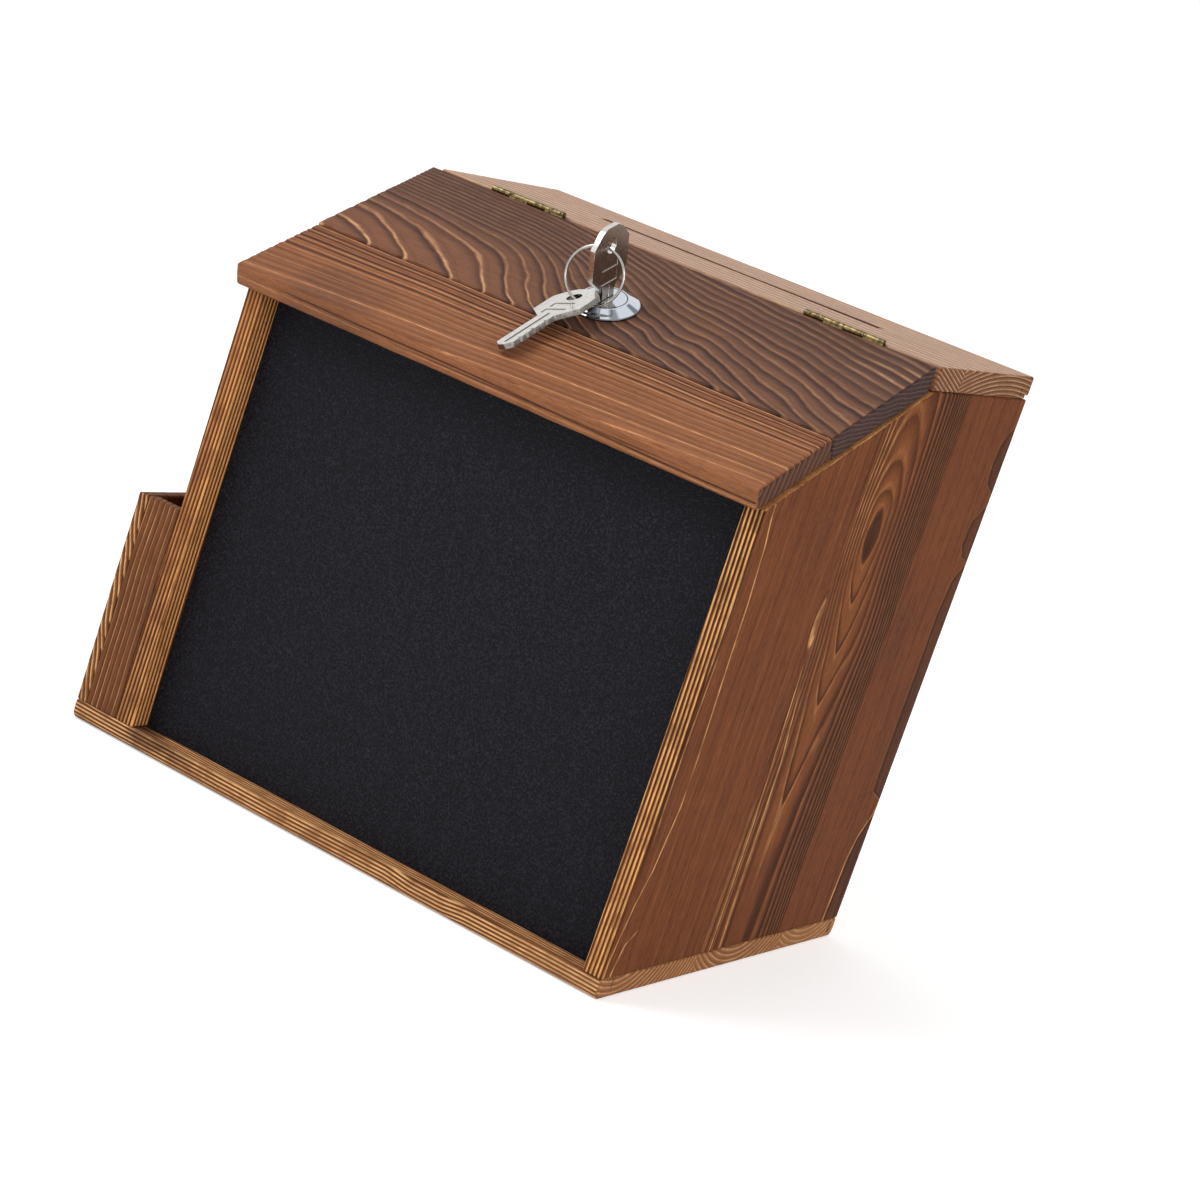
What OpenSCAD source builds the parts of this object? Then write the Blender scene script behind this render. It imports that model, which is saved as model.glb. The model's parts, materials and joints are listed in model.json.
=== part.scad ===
// Wooden suggestion box: a sloped lid that locks, a recessed chalkboard front,
// a paper slot in the fixed top plank and a card pocket on the left side.
// Millimetres. +Z is up, the front faces -Y, and the origin is the middle of the
// base board's underside.

/* [Box] */
// Width of the base board, card pocket included
box_w = 210; // [180:1:300]
// Depth of the base board
box_d = 159; // [145:1:220]
// Height to the top of the fixed plank
box_h = 200; // [120:1:320]
// Drop from the plank's top to the side boards' front corners
front_drop = 46.7; // [38:0.1:56]
// Slope of the lid in degrees
lid_slope = 24.4; // [20:0.1:30]

/* [Boards] */
// Thickness of the base board
base_t = 6.5; // [5:0.1:12]
// Thickness of the two side boards
side_t = 7; // [6:0.1:10]
// Thickness of the lid and of the top plank
top_t = 7.8; // [7:0.1:11]
// Rounding of the base board's lower long edges
base_edge_r = 3; // [1:0.1:4.5]
// Depth of the rebate's lap on the side boards
rebate_lap = 3.5; // [3:0.1:4]
// Height of the rebate in the plank's rear lower edge
plank_rebate_h = 1.5; // [1:0.1:3]
// Thickness of the back panel
back_t = 3; // [2.5:0.1:5]

/* [Chalkboard] */
// Thickness of the chalkboard panel
board_t = 3; // [2:0.1:5]
// Depth that the chalkboard lies behind the side boards' front edges
board_recess = 8; // [3:0.1:15]
// Side of the square strips that hold the chalkboard from behind
cleat_w = 8; // [6:0.1:12]
// Depth of the rail that the lock's cam catches
rail_d = 14; // [12:0.1:20]

/* [Card pocket] */
// Width from the base's left end to the left side board
pocket_w = 17; // [14:0.1:40]
// Height of the pocket boards above the base board
pocket_h = 71.7; // [40:0.1:110]
// Thickness of the pocket's outer board
pocket_board_t = 4; // [3:0.1:7]
// Thickness of the pocket's front and back boards
pocket_end_t = 5; // [3:0.1:10]

/* [Lid] */
// Reach of the lid's lower front edge beyond the side boards
lid_front_over = 2.9; // [0:0.1:12]
// Reach of the lid beyond the left side board
lid_left_over = 3; // [0:0.1:8]
// Distance that the lid's right end stays inside the right side board
lid_right_in = 1; // [0:0.1:3]
// Gap between the closed lid and the boards below it
lid_seat = 0.2; // [0.1:0.1:0.8]
// Gap between the lid's rear face and the plank
hinge_gap = 1; // [0.8:0.1:1.6]

/* [Paper slot] */
// Length of the paper slot
slot_l = 110; // [60:1:150]
// Width of the paper slot
slot_w = 5; // [4.6:0.1:12]

/* [Hinges] */
// Length of one hinge
hinge_l = 29; // [20:0.5:45]
// Distance from the lid's left end to the left hinge
left_hinge_in = 24.8; // [5:0.1:60]
// Distance from the lid's right end to the right hinge
right_hinge_in = 19.4; // [5:0.1:60]
// Thickness of a hinge leaf
leaf_t = 0.9; // [0.6:0.1:1.2]
// Wood left below a hinge leaf
leaf_under = 1.1; // [0.6:0.1:2]
// Outer diameter of the knuckles
knuckle_d = 2.2; // [2:0.1:3]
// Diameter of the hinge pin
pin_d = 1.1; // [0.8:0.1:1.3]

/* [Lock] */
// Sideways shift of the lock from the middle of the box
lock_shift = -0.7; // [-20:0.1:20]
// Reach of the flange beyond the barrel
flange_reach = 3.25; // [2:0.05:6]
// Height of the lock's head above the lid
head_h = 2.6; // [1.5:0.1:4]
// Wall of the threaded barrel round the turning face
barrel_wall = 1.05; // [0.8:0.05:2]
// Lip of the turning face beyond the plug behind it
face_lip = 1.5; // [0.8:0.1:3]
// Length of the plug below the key's tip
plug_floor = 3; // [2.4:0.1:6]
// Width of the cam
cam_w = 12; // [9:0.5:16]
// Thickness of the cam
cam_t = 1.8; // [1.2:0.1:3]

/* [Keys] */
// Width of a key's bow
bow_w = 18; // [16:0.1:21]
// Length of a key's bow
bow_l = 21.5; // [20:0.1:26]
// Thickness of a key
key_t = 1.8; // [1.4:0.1:2]
// Width of a key's blade
blade_w = 6.4; // [5:0.1:7.6]
// Length of a key's blade
blade_l = 22.5; // [18:0.1:30]
// Diameter of the hole in a key's bow
key_hole_d = 5; // [4.6:0.1:5.6]
// Diameter of the key ring's wire
wire_d = 0.9; // [0.8:0.1:1.3]

/* [Hidden] */
$fn = 64;

// Overrun of every cut past the face it opens
over = 1;
// Clearance of fixed pieces that are let into one another
fit = 0.05;

// Faces of the box, from the driving sizes
x_left = -box_w / 2;
x_right = box_w / 2;
y_front = -box_d / 2;
y_back = box_d / 2;
body_left = x_left + pocket_w;
inner_left = body_left + side_t;
inner_right = x_right - side_t;
body_mid = (body_left + x_right) / 2;
plank_under = box_h - top_t;
front_h = box_h - front_drop;
board_back = y_front + board_recess + board_t;
pocket_top = base_t + pocket_h;

// Lid: its lower face rests on the side boards, its upper face meets the plank's top
// at the hinge line
slope_t = top_t / cos(lid_slope);
hinge_y = y_front + (front_drop - slope_t - lid_seat) / tan(lid_slope);
plank_front = hinge_y + hinge_gap / 2;
lid_left = body_left - lid_left_over;
lid_right = x_right - lid_right_in;
lid_len = (hinge_y - y_front + lid_front_over + top_t * sin(lid_slope)) / cos(lid_slope);
// Share of the lid's length that the rear board takes
rear_board_share = 0.602;
rear_board_l = rear_board_share * lid_len;

// Place of the slot across the plank, as a share of the plank's depth
slot_place_share = 0.53;
slot_y = plank_front + slot_place_share * (y_back - plank_front);

// Hinge details
knuckle_count = 4;
knuckle_gap = 0.15;
pin_clear = 0.05;
leaf_gap = 0.2;
relief = 0.3;
axis_up = 0.3;
leaf_h = top_t + axis_up - leaf_under;
pin_over = 0.3;
screw_r = 0.9;
screw_head_r = 1.8;
screw_l = 6.4;
screw_point = 1.6;
screw_driver_w = 0.5;
screw_driver_l = 2.4;
screw_driver_depth = 0.4;
screw_place_shares = [0.2, 0.8];
// Place of the screws down the leaf, as a share of its height
screw_drop_share = 0.67;
screw_drop = screw_drop_share * leaf_h;
left_hinge_x = lid_left + left_hinge_in;
right_hinge_x = lid_right - right_hinge_in - hinge_l;

// Lock details, measured along the lid's normal from the lid's top face
// Place of the lock down the lid, as a share of the lid's length
lock_place_share = 0.406;
lock_x = body_mid + lock_shift;
lock_down = lock_place_share * lid_len;
rim_t = 0.6;
plug_clear = 0.06;
face_seat = 1.5;
barrel_clear = 0.2;
washer_t = 1;
nut_t = 4;

// The lock is sized round the key: wafers, plug, turning face, barrel and flange
key_clear = 0.2;
wafer_count = 5;
wafer_t = 0.6;
wafer_clear = 0.1;
wafer_side = 2.2;
wafer_end = 0.7;
wafer_in = 0.187;
wafer_w = key_t + 2 * (key_clear + wafer_side);
wafer_l = blade_w + 2 * (key_clear + wafer_end);
// Places of the wafers along the blade, as shares of its length
wafer_first_share = 0.222;
wafer_pitch_share = 0.1155;
wafer_first = wafer_first_share * blade_l;
wafer_pitch = wafer_pitch_share * blade_l;
plug_d = norm([wafer_w, wafer_l]) + 2 * wafer_in;
face_d = plug_d + 2 * face_lip;
barrel_d = face_d + 2 * barrel_wall;
flange_d = barrel_d + 2 * flange_reach;
flat_depth = 1.3;
barrel_flat = barrel_d - 2 * flat_depth;
washer_reach = 4;
washer_d = barrel_d + 2 * washer_reach;
nut_wall = 3;
nut_flats = barrel_d + 2 * nut_wall;

// Height of the bow's end and of its hole above the lid, and depth of the blade's tip
bow_gap = 2.9;
key_top = head_h + bow_gap + bow_l;
key_hole_down = 6.5;
key_depth = blade_l - head_h - bow_gap;
barrel_l = key_depth + plug_floor;
cam_play = 0.3;
// Sizes of the tang and of the cam's hub, as shares of the plug's diameter
tang_share = 0.55;
hub_share = 1.376;
tang_w = tang_share * plug_d;
rail_clear = 0.5;
cam_top = -barrel_l - cam_play;
cam_under = cam_top - cam_t;
cam_reach_gap = 3;
cam_hub_d = hub_share * plug_d;
cam_screw_r = 2;
cam_screw_grip = 3.4;
cam_head_d = 9;
cam_head_t = 2.2;
cam_drive_d = 4;

// Length of the cam from the lock's middle to its tip, so that it ends just behind
// the chalkboard when it is turned forwards
cam_l = (hinge_y - cam_top * sin(lid_slope) - board_back - cam_reach_gap) / cos(lid_slope)
    - lock_down;

// Key outline: half widths as shares of the bow's half width, and places as shares
// of the bow's length
bow_half_shares = [[0.3, 0], [0.58, 0.06], [1, 0.26], [1, 0.745], [0.41, 0.975]];
key_tip_l = 2;
key_tip_share = 0.38;
notch_count = 5;
// Places of the notches along the blade, and their depths, as shares of its length
// and of its width
notch_first_share = 0.178;
notch_pitch_share = 0.142;
notch_depth_shares = [0.14, 0.08, 0.17, 0.09, 0.14];
notch_first = notch_first_share * blade_l;
notch_pitch = notch_pitch_share * blade_l;
groove_w = 0.9;
groove_depth = 0.35;
panel_depth = 0.25;
bow_panel_shares = [[0.44, 0.14, 0.74], [0.44, 0.14, 0.52]];

// The spare key lies on the lid beside the lock, and the ring joins both bows. The
// ring's diameter and middle and the spare key's hole, from the lock's middle on the
// lid's top face, are shares of the height of the standing key's hole
hole_h = key_top - key_hole_down;
ring_share = 0.9073;
ring_place_shares = [-0.0447, -0.2666, 0.5672];
spare_hole_shares = [-0.1705, -0.5412, 0.2226];
ring_d = ring_share * hole_h;
spare_yaw = 1.1;
spare_pitch = 2;
spare_roll = 20.1;
ring_turn = 13;
ring_lean = 31.1;

// Nails
nail_r = 0.6;
nail_head_r = 1.3;
nail_head_t = 0.7;
nail_sunk = 0.3;
nail_clear = 0.05;
base_nail_l = 20;
back_nail_l = 11;
nail_place_shares = [0.12, 0.5, 0.88];

// Colours
wood = "saddlebrown";
pale_wood = "peru";
dark_wood = "sienna";
slate = "#26262b";
brass = "darkkhaki";
steel = "silver";

// Height of the lid's top and lower faces over a place y on the table
function lid_top(y) = box_h + (y - hinge_y) * tan(lid_slope);
function lid_low(y) = lid_top(y) - slope_t;

// Block between two corners
module block(low, high) {
    translate(low)
        cube(high - low);
}

// Outline in the YZ plane, extruded along X from x0 to x1
module along_x(x0, x1) {
    translate([x0, 0, 0])
        rotate([90, 0, 90])
            linear_extrude(x1 - x0)
                children();
}

// Lid frame: X across, Y up the slope from the hinge line, Z out of the top face
module on_lid() {
    translate([0, hinge_y, box_h])
        rotate([lid_slope, 0, 0])
            children();
}

// Lock frame: the lid frame moved to the lock's middle
module on_lock() {
    on_lid()
        translate([lock_x, -lock_down, 0])
            children();
}

// Hinge frame: the pin's axis along X, starting at the hinge's left end
module on_hinge(x) {
    translate([x, hinge_y, box_h + axis_up])
        children();
}

// Cylinder along X
module rod_x(r, l) {
    rotate([0, 90, 0])
        cylinder(h = l, r = r);
}

// Brad, its head at the origin and its point towards -Z; grow widens it for its hole
module brad(l, grow = 0) {
    translate([0, 0, -nail_sunk - nail_head_t])
        cylinder(h = nail_head_t, r = nail_head_r + grow);
    translate([0, 0, -l + nail_r * 2 - grow])
        cylinder(h = l - nail_r * 2 - nail_sunk - nail_head_t + grow * 2, r = nail_r + grow);
    translate([0, 0, -l])
        cylinder(h = nail_r * 2, r1 = nail_r * 0.2, r2 = nail_r + grow);
}

// Hole for a brad, open to the face it was driven from
module brad_hole(l) {
    brad(l, nail_clear);
    translate([0, 0, -nail_sunk - nail_head_t])
        cylinder(h = nail_sunk + nail_head_t + over, r = nail_head_r + nail_clear);
}

// Places of the brads that come up through the base
module at_base_nails() {
    for (x = [(body_left + inner_left) / 2, (inner_right + x_right) / 2, x_left + pocket_board_t / 2])
        for (share = nail_place_shares)
            translate([x, y_front + share * box_d, 0])
                rotate([180, 0, 0])
                    children();
}

// Places of the brads that hold the back panel
module at_back_nails() {
    for (x = [inner_left - rebate_lap / 2, inner_right + rebate_lap / 2])
        for (share = nail_place_shares)
            translate([x, y_back, base_t + share * (plank_under - base_t)])
                rotate([-90, 0, 0])
                    children();
}

module base_nails() {
    color(steel)
        at_base_nails()
            brad(base_nail_l);
}

module back_panel_nails() {
    color(steel)
        at_back_nails()
            brad(back_nail_l);
}

// Base board, its lower front and rear edges rounded
module base_board() {
    color(wood)
        difference() {
            along_x(x_left, x_right)
                union() {
                    translate([y_front, base_edge_r])
                        square([box_d, base_t - base_edge_r]);
                    translate([y_front + base_edge_r, 0])
                        square([box_d - 2 * base_edge_r, base_t]);
                    for (y = [y_front + base_edge_r, y_back - base_edge_r])
                        translate([y, base_edge_r])
                            circle(r = base_edge_r);
                }
            at_base_nails()
                brad_hole(base_nail_l);
        }
}

// Side board between x0 and x1, with the rebate for the back panel on its inner side
module side_board(x0, x1, rebate_x0) {
    peak_y = y_front + (plank_under - front_h) / tan(lid_slope);
    color(wood)
        difference() {
            along_x(x0, x1)
                polygon([[y_front, base_t], [y_back, base_t], [y_back, plank_under],
                    [peak_y, plank_under], [y_front, front_h]]);
            block([rebate_x0, y_back - back_t, base_t - over],
                [rebate_x0 + rebate_lap, y_back + over, box_h]);
            at_base_nails()
                brad_hole(base_nail_l);
            at_back_nails()
                brad_hole(back_nail_l);
        }
}

module left_side_board() {
    side_board(body_left, inner_left, inner_left - rebate_lap);
}

module right_side_board() {
    side_board(inner_right, x_right, inner_right);
}

// Back panel, let into the rebates of the side boards and of the plank
module back_panel() {
    color(pale_wood)
        difference() {
            block([inner_left - rebate_lap, y_back - back_t, base_t],
                [inner_right + rebate_lap, y_back, plank_under + plank_rebate_h]);
            at_back_nails()
                brad_hole(back_nail_l);
        }
}

// Fixed top plank with the paper slot, seats for the hinge leaves and the rear rebate
module top_plank() {
    color(pale_wood)
        difference() {
            block([body_left, plank_front, plank_under], [x_right, y_back, box_h]);
            block([body_mid - slot_l / 2, slot_y - slot_w / 2, plank_under - over],
                [body_mid + slot_l / 2, slot_y + slot_w / 2, box_h + over]);
            block([body_left - over, y_back - back_t, plank_under - over],
                [x_right + over, y_back + over, plank_under + plank_rebate_h]);
            for (x = [left_hinge_x, right_hinge_x])
                on_hinge(x)
                    hinge_seat();
        }
}

// Chalkboard panel, standing on the base between the side boards
module chalkboard_panel() {
    panel_top = lid_low(y_front + board_recess) - lid_seat;
    color(slate)
        block([inner_left, y_front + board_recess, base_t],
            [inner_right, board_back, panel_top]);
}

// Rail across the box behind the chalkboard's top, parallel to the lid
module strike_rail() {
    rail_low = cam_top + rail_clear;
    rail_top = -top_t - lid_seat * 2;
    color(dark_wood)
        along_x(inner_left, inner_right)
            polygon([for (p = [[board_back, rail_low], [board_back + rail_d, rail_low],
                    [board_back + rail_d, rail_top], [board_back, rail_top]])
                [p[0], lid_top(p[0]) + p[1] / cos(lid_slope)]]);
}

// Upright strip in the corner behind the chalkboard
module cleat(x0) {
    cleat_top = lid_top(board_back) + (cam_top - cam_t) / cos(lid_slope);
    color(dark_wood)
        block([x0, board_back, base_t], [x0 + cleat_w, board_back + cleat_w, cleat_top]);
}

module left_cleat() {
    cleat(inner_left);
}

module right_cleat() {
    cleat(inner_right - cleat_w);
}

// Card pocket
module pocket_outer_board() {
    color(wood)
        difference() {
            block([x_left, y_front, base_t], [x_left + pocket_board_t, y_back, pocket_top]);
            at_base_nails()
                brad_hole(base_nail_l);
        }
}

module pocket_end(y0) {
    color(wood)
        block([x_left + pocket_board_t, y0, base_t], [body_left, y0 + pocket_end_t, pocket_top]);
}

module pocket_front_board() {
    pocket_end(y_front);
}

module pocket_back_board() {
    pocket_end(y_back - pocket_end_t);
}

// Hinge leaf on the plank's side (+Y), with the knuckles numbered by own
module hinge_leaf(own) {
    knuckle_l = hinge_l / knuckle_count;
    leaf_y = leaf_gap / 2;
    difference() {
        union() {
            block([0, leaf_y, -leaf_h], [hinge_l, leaf_y + leaf_t, 0]);
            for (i = own)
                translate([i * knuckle_l + knuckle_gap / 2, 0, 0])
                    rod_x(knuckle_d / 2, knuckle_l - knuckle_gap);
        }
        for (i = [0 : knuckle_count - 1])
            if (len([for (o = own) if (o == i) o]) == 0)
                block([i * knuckle_l - knuckle_gap / 2, -knuckle_d, -knuckle_d / 2 - relief],
                    [(i + 1) * knuckle_l + knuckle_gap / 2, knuckle_d, knuckle_d]);
        translate([-over, 0, 0])
            rod_x(pin_d / 2 + pin_clear, hinge_l + 2 * over);
        at_hinge_screws()
            hinge_screw(fit);
    }
}

// Wood cut away for a leaf and for the turning knuckles
module hinge_seat() {
    leaf_y = leaf_gap / 2;
    block([-fit, 0, -leaf_h - fit], [hinge_l + fit, leaf_y + leaf_t + fit, knuckle_d]);
    translate([-relief, 0, 0])
        rod_x(knuckle_d / 2 + relief, hinge_l + 2 * relief);
    at_hinge_screws()
        hinge_screw(fit);
}

// Places of the screws of one leaf, their axis along +Y
module at_hinge_screws() {
    for (share = screw_place_shares)
        translate([share * hinge_l, leaf_gap / 2 + fit, -screw_drop])
            rotate([-90, 0, 0])
                children();
}

// Countersunk wood screw along +Z, its head's face at the origin
module hinge_screw(grow = 0) {
    head_l = screw_head_r - screw_r;
    difference() {
        union() {
            translate([0, 0, -grow])
                cylinder(h = head_l + grow, r1 = screw_head_r + grow * 2, r2 = screw_r + grow);
            translate([0, 0, head_l / 2])
                cylinder(h = screw_l - screw_point - head_l / 2, r = screw_r + grow);
            translate([0, 0, screw_l - screw_point])
                cylinder(h = screw_point + grow, r1 = screw_r + grow, r2 = screw_r * 0.1 + grow);
        }
        if (grow == 0)
            for (a = [0, 90])
                rotate([0, 0, a])
                    translate([-screw_driver_l / 2, -screw_driver_w / 2, -over])
                        cube([screw_driver_l, screw_driver_w, over + screw_driver_depth]);
    }
}

// Side of the hinge that belongs to the lid
module lid_side() {
    mirror([0, 1, 0])
        children();
}

module plank_leaf(x) {
    color(brass)
        on_hinge(x)
            hinge_leaf([0, 2]);
}

module left_hinge_plank_leaf() {
    plank_leaf(left_hinge_x);
}

module right_hinge_plank_leaf() {
    plank_leaf(right_hinge_x);
}

module lid_leaf(x) {
    color(brass)
        on_hinge(x)
            lid_side()
                hinge_leaf([1, 3]);
}

module left_hinge_lid_leaf() {
    lid_leaf(left_hinge_x);
}

module right_hinge_lid_leaf() {
    lid_leaf(right_hinge_x);
}

module hinge_pin(x) {
    color(brass)
        on_hinge(x)
            translate([-pin_over, 0, 0])
                rod_x(pin_d / 2, hinge_l + 2 * pin_over);
}

module left_hinge_pin() {
    hinge_pin(left_hinge_x);
}

module right_hinge_pin() {
    hinge_pin(right_hinge_x);
}

module plank_hinge_screws() {
    color(brass)
        for (x = [left_hinge_x, right_hinge_x])
            on_hinge(x)
                at_hinge_screws()
                    hinge_screw();
}

module lid_hinge_screws() {
    color(brass)
        for (x = [left_hinge_x, right_hinge_x])
            on_hinge(x)
                lid_side()
                    at_hinge_screws()
                        hinge_screw();
}

// Lid board between two places on the slope, in the lid frame
module lid_board(y0, y1_top, y1_low) {
    along_x(lid_left, lid_right)
        polygon([[y0, -top_t], [y1_low, -top_t], [y1_top, 0], [y0, 0]]);
}

// Rear board of the lid: its rear face stands upright, and it carries hinges and lock
module lid_rear_board() {
    rear_top = -hinge_gap / 2 / cos(lid_slope);
    rear_low = rear_top - top_t * tan(lid_slope);
    color(dark_wood)
        difference() {
            on_lid()
                lid_board(-rear_board_l, rear_top, rear_low);
            on_lock()
                translate([0, 0, -top_t - over])
                    cylinder(h = top_t + 2 * over, r = barrel_d / 2 + barrel_clear);
            for (x = [left_hinge_x, right_hinge_x])
                on_hinge(x)
                    lid_side()
                        hinge_seat();
        }
}

module lid_front_board() {
    color(wood)
        on_lid()
            lid_board(-lid_len, -rear_board_l, -rear_board_l);
}

// Lock housing: conical flange and threaded barrel with two flats, in one piece
module lock_housing() {
    face_hole_r = face_d / 2 + plug_clear;
    color(steel)
        on_lock()
            difference() {
                union() {
                    cylinder(h = rim_t, r = flange_d / 2);
                    translate([0, 0, rim_t])
                        cylinder(h = head_h - rim_t, r1 = flange_d / 2, r2 = face_hole_r + rim_t);
                    translate([0, 0, -barrel_l])
                        cylinder(h = barrel_l + rim_t, r = barrel_d / 2);
                }
                for (turn = [0, 180])
                    rotate([0, 0, turn])
                        translate([barrel_flat / 2, -barrel_d, -barrel_l - over])
                            cube([barrel_d, 2 * barrel_d, barrel_l - top_t + over]);
                translate([0, 0, -face_seat])
                    cylinder(h = face_seat + head_h + over, r = face_hole_r);
                translate([0, 0, -barrel_l - over])
                    cylinder(h = barrel_l + 2 * over, r = plug_d / 2 + plug_clear);
            }
}

module lock_washer() {
    color(steel)
        on_lock()
            translate([0, 0, -top_t - washer_t])
                difference() {
                    cylinder(h = washer_t, r = washer_d / 2);
                    translate([0, 0, -over])
                        cylinder(h = washer_t + 2 * over, r = barrel_d / 2 + barrel_clear);
                }
}

module lock_nut() {
    color(steel)
        on_lock()
            translate([0, 0, -top_t - washer_t - nut_t])
                difference() {
                    cylinder(h = nut_t, r = nut_flats / 2 / cos(30), $fn = 6);
                    translate([0, 0, -over])
                        cylinder(h = nut_t + 2 * over, r = barrel_d / 2 + fit);
                }
}

// Turning plug: face, body with the keyway and wafer slots, and the square tang
module lock_plug() {
    keyway_end = key_top - bow_l - blade_l - key_clear;
    color(steel)
        on_lock()
            difference() {
                union() {
                    translate([0, 0, -face_seat + plug_clear])
                        cylinder(h = head_h + face_seat - plug_clear, r = face_d / 2);
                    translate([0, 0, -barrel_l])
                        cylinder(h = barrel_l, r = plug_d / 2);
                    translate([-tang_w / 2, -tang_w / 2, cam_under])
                        cube([tang_w, tang_w, -cam_under - barrel_l + over]);
                }
                translate([-key_t / 2 - key_clear, -blade_w / 2 - key_clear, keyway_end])
                    cube([key_t + 2 * key_clear, blade_w + 2 * key_clear,
                        head_h - keyway_end + over]);
                for (i = [0 : wafer_count - 1])
                    translate([-wafer_w / 2 - wafer_clear, -plug_d,
                            -wafer_first - i * wafer_pitch - wafer_t - wafer_clear])
                        cube([wafer_w + 2 * wafer_clear, 2 * plug_d, wafer_t + 2 * wafer_clear]);
                translate([0, 0, cam_under - over])
                    cylinder(h = cam_screw_grip + over + fit, r = cam_screw_r + fit);
            }
}

// Wafers held level by the key, each with its window
module wafer_tumblers() {
    color(brass)
        on_lock()
            for (i = [0 : wafer_count - 1])
                translate([0, 0, -wafer_first - i * wafer_pitch - wafer_t])
                    difference() {
                        translate([-wafer_w / 2, -wafer_l / 2, 0])
                            cube([wafer_w, wafer_l, wafer_t]);
                        translate([-key_t / 2 - key_clear, -blade_w / 2 - key_clear, -over])
                            cube([key_t + 2 * key_clear, blade_w + 2 * key_clear,
                                wafer_t + 2 * over]);
                    }
}

// Cam on the plug's tang, turned aside along X so that the lid is free
module lock_cam() {
    color(steel)
        on_lock()
            translate([0, 0, cam_under])
                difference() {
                    union() {
                        cylinder(h = cam_t, r = cam_hub_d / 2);
                        translate([0, -cam_w / 2, 0])
                            cube([cam_l - cam_w / 2, cam_w, cam_t]);
                        translate([cam_l - cam_w / 2, 0, 0])
                            cylinder(h = cam_t, r = cam_w / 2);
                    }
                    translate([-tang_w / 2 - fit, -tang_w / 2 - fit, -over])
                        cube([tang_w + 2 * fit, tang_w + 2 * fit, cam_t + 2 * over]);
                }
}

module cam_screw() {
    color(steel)
        on_lock()
            difference() {
                union() {
                    translate([0, 0, cam_under - cam_head_t])
                        cylinder(h = cam_head_t, r = cam_head_d / 2);
                    translate([0, 0, cam_under - cam_head_t / 2])
                        cylinder(h = cam_screw_grip + cam_head_t / 2 - fit, r = cam_screw_r);
                }
                translate([0, 0, cam_under - cam_head_t - over])
                    cylinder(h = over + cam_head_t / 2, r = cam_drive_d / 2, $fn = 6);
            }
}

// Key blank outline, its bow's end at the origin and its tip towards -Y
module key_outline() {
    bow_side = [for (s = bow_half_shares) [s[0] * bow_w / 2, -s[1] * bow_l]];
    blade_side = [[blade_w / 2, -bow_l], [blade_w / 2, -bow_l - blade_l + key_tip_l],
        [key_tip_share * blade_w / 2, -bow_l - blade_l]];
    side = concat(bow_side, blade_side);
    polygon(concat(side, [for (i = [len(side) - 1 : -1 : 0]) [-side[i][0], side[i][1]]]));
}

// Flat key with a holed bow, stamped panels, a grooved blade and cut notches
module flat_key() {
    color(steel)
        difference() {
            translate([0, 0, -key_t / 2])
                linear_extrude(key_t)
                    key_outline();
            translate([0, -key_hole_down, -key_t])
                cylinder(h = 2 * key_t, r = key_hole_d / 2);
            for (i = [0 : notch_count - 1])
                translate([blade_w / 2, -bow_l - notch_first - i * notch_pitch, -key_t])
                    linear_extrude(2 * key_t)
                        polygon([[-notch_depth_shares[i] * blade_w, 0], [over, -notch_pitch / 2],
                            [over, notch_pitch / 2]]);
            for (side = [-1, 1])
                scale([1, 1, side]) {
                    translate([-groove_w / 2, -bow_l - blade_l + key_tip_l, key_t / 2 - groove_depth])
                        cube([groove_w, blade_l, key_t]);
                    for (p = bow_panel_shares)
                        translate([-p[0] * bow_w / 2, -(p[2] + p[1]) * bow_l,
                                key_t / 2 - panel_depth])
                            cube([p[0] * bow_w, p[1] * bow_l, key_t]);
                }
        }
}

// Key in the lock, its bow standing along the slope
module key() {
    on_lock()
        translate([0, 0, key_top])
            rotate([90, 0, 90])
                flat_key();
}

module spare_key() {
    on_lock()
        translate(spare_hole_shares * hole_h)
            rotate([0, 0, spare_yaw])
                rotate([spare_pitch, 0, 0])
                    rotate([0, -spare_roll, 0])
                        translate([0, key_hole_down, 0])
                            flat_key();
}

// Key ring through both bows
module key_ring() {
    color(steel)
        on_lock()
            translate(ring_place_shares * hole_h)
                rotate([0, 0, ring_turn])
                    rotate([90 - ring_lean, 0, 0])
                        rotate_extrude()
                            translate([ring_d / 2, 0])
                                circle(r = wire_d / 2, $fn = 32);
}

base_board();
left_side_board();
right_side_board();
back_panel();
top_plank();
chalkboard_panel();
left_cleat();
right_cleat();
strike_rail();
pocket_outer_board();
pocket_front_board();
pocket_back_board();
base_nails();
back_panel_nails();
left_hinge_plank_leaf();
right_hinge_plank_leaf();
left_hinge_pin();
right_hinge_pin();
plank_hinge_screws();
lid_rear_board();
lid_front_board();
left_hinge_lid_leaf();
right_hinge_lid_leaf();
lid_hinge_screws();
lock_housing();
lock_washer();
lock_nut();
lock_plug();
wafer_tumblers();
lock_cam();
cam_screw();
key();
key_ring();
spare_key();
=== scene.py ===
import json
import math

import bmesh
import bpy
import numpy as np
from mathutils import Matrix, Vector


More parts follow.
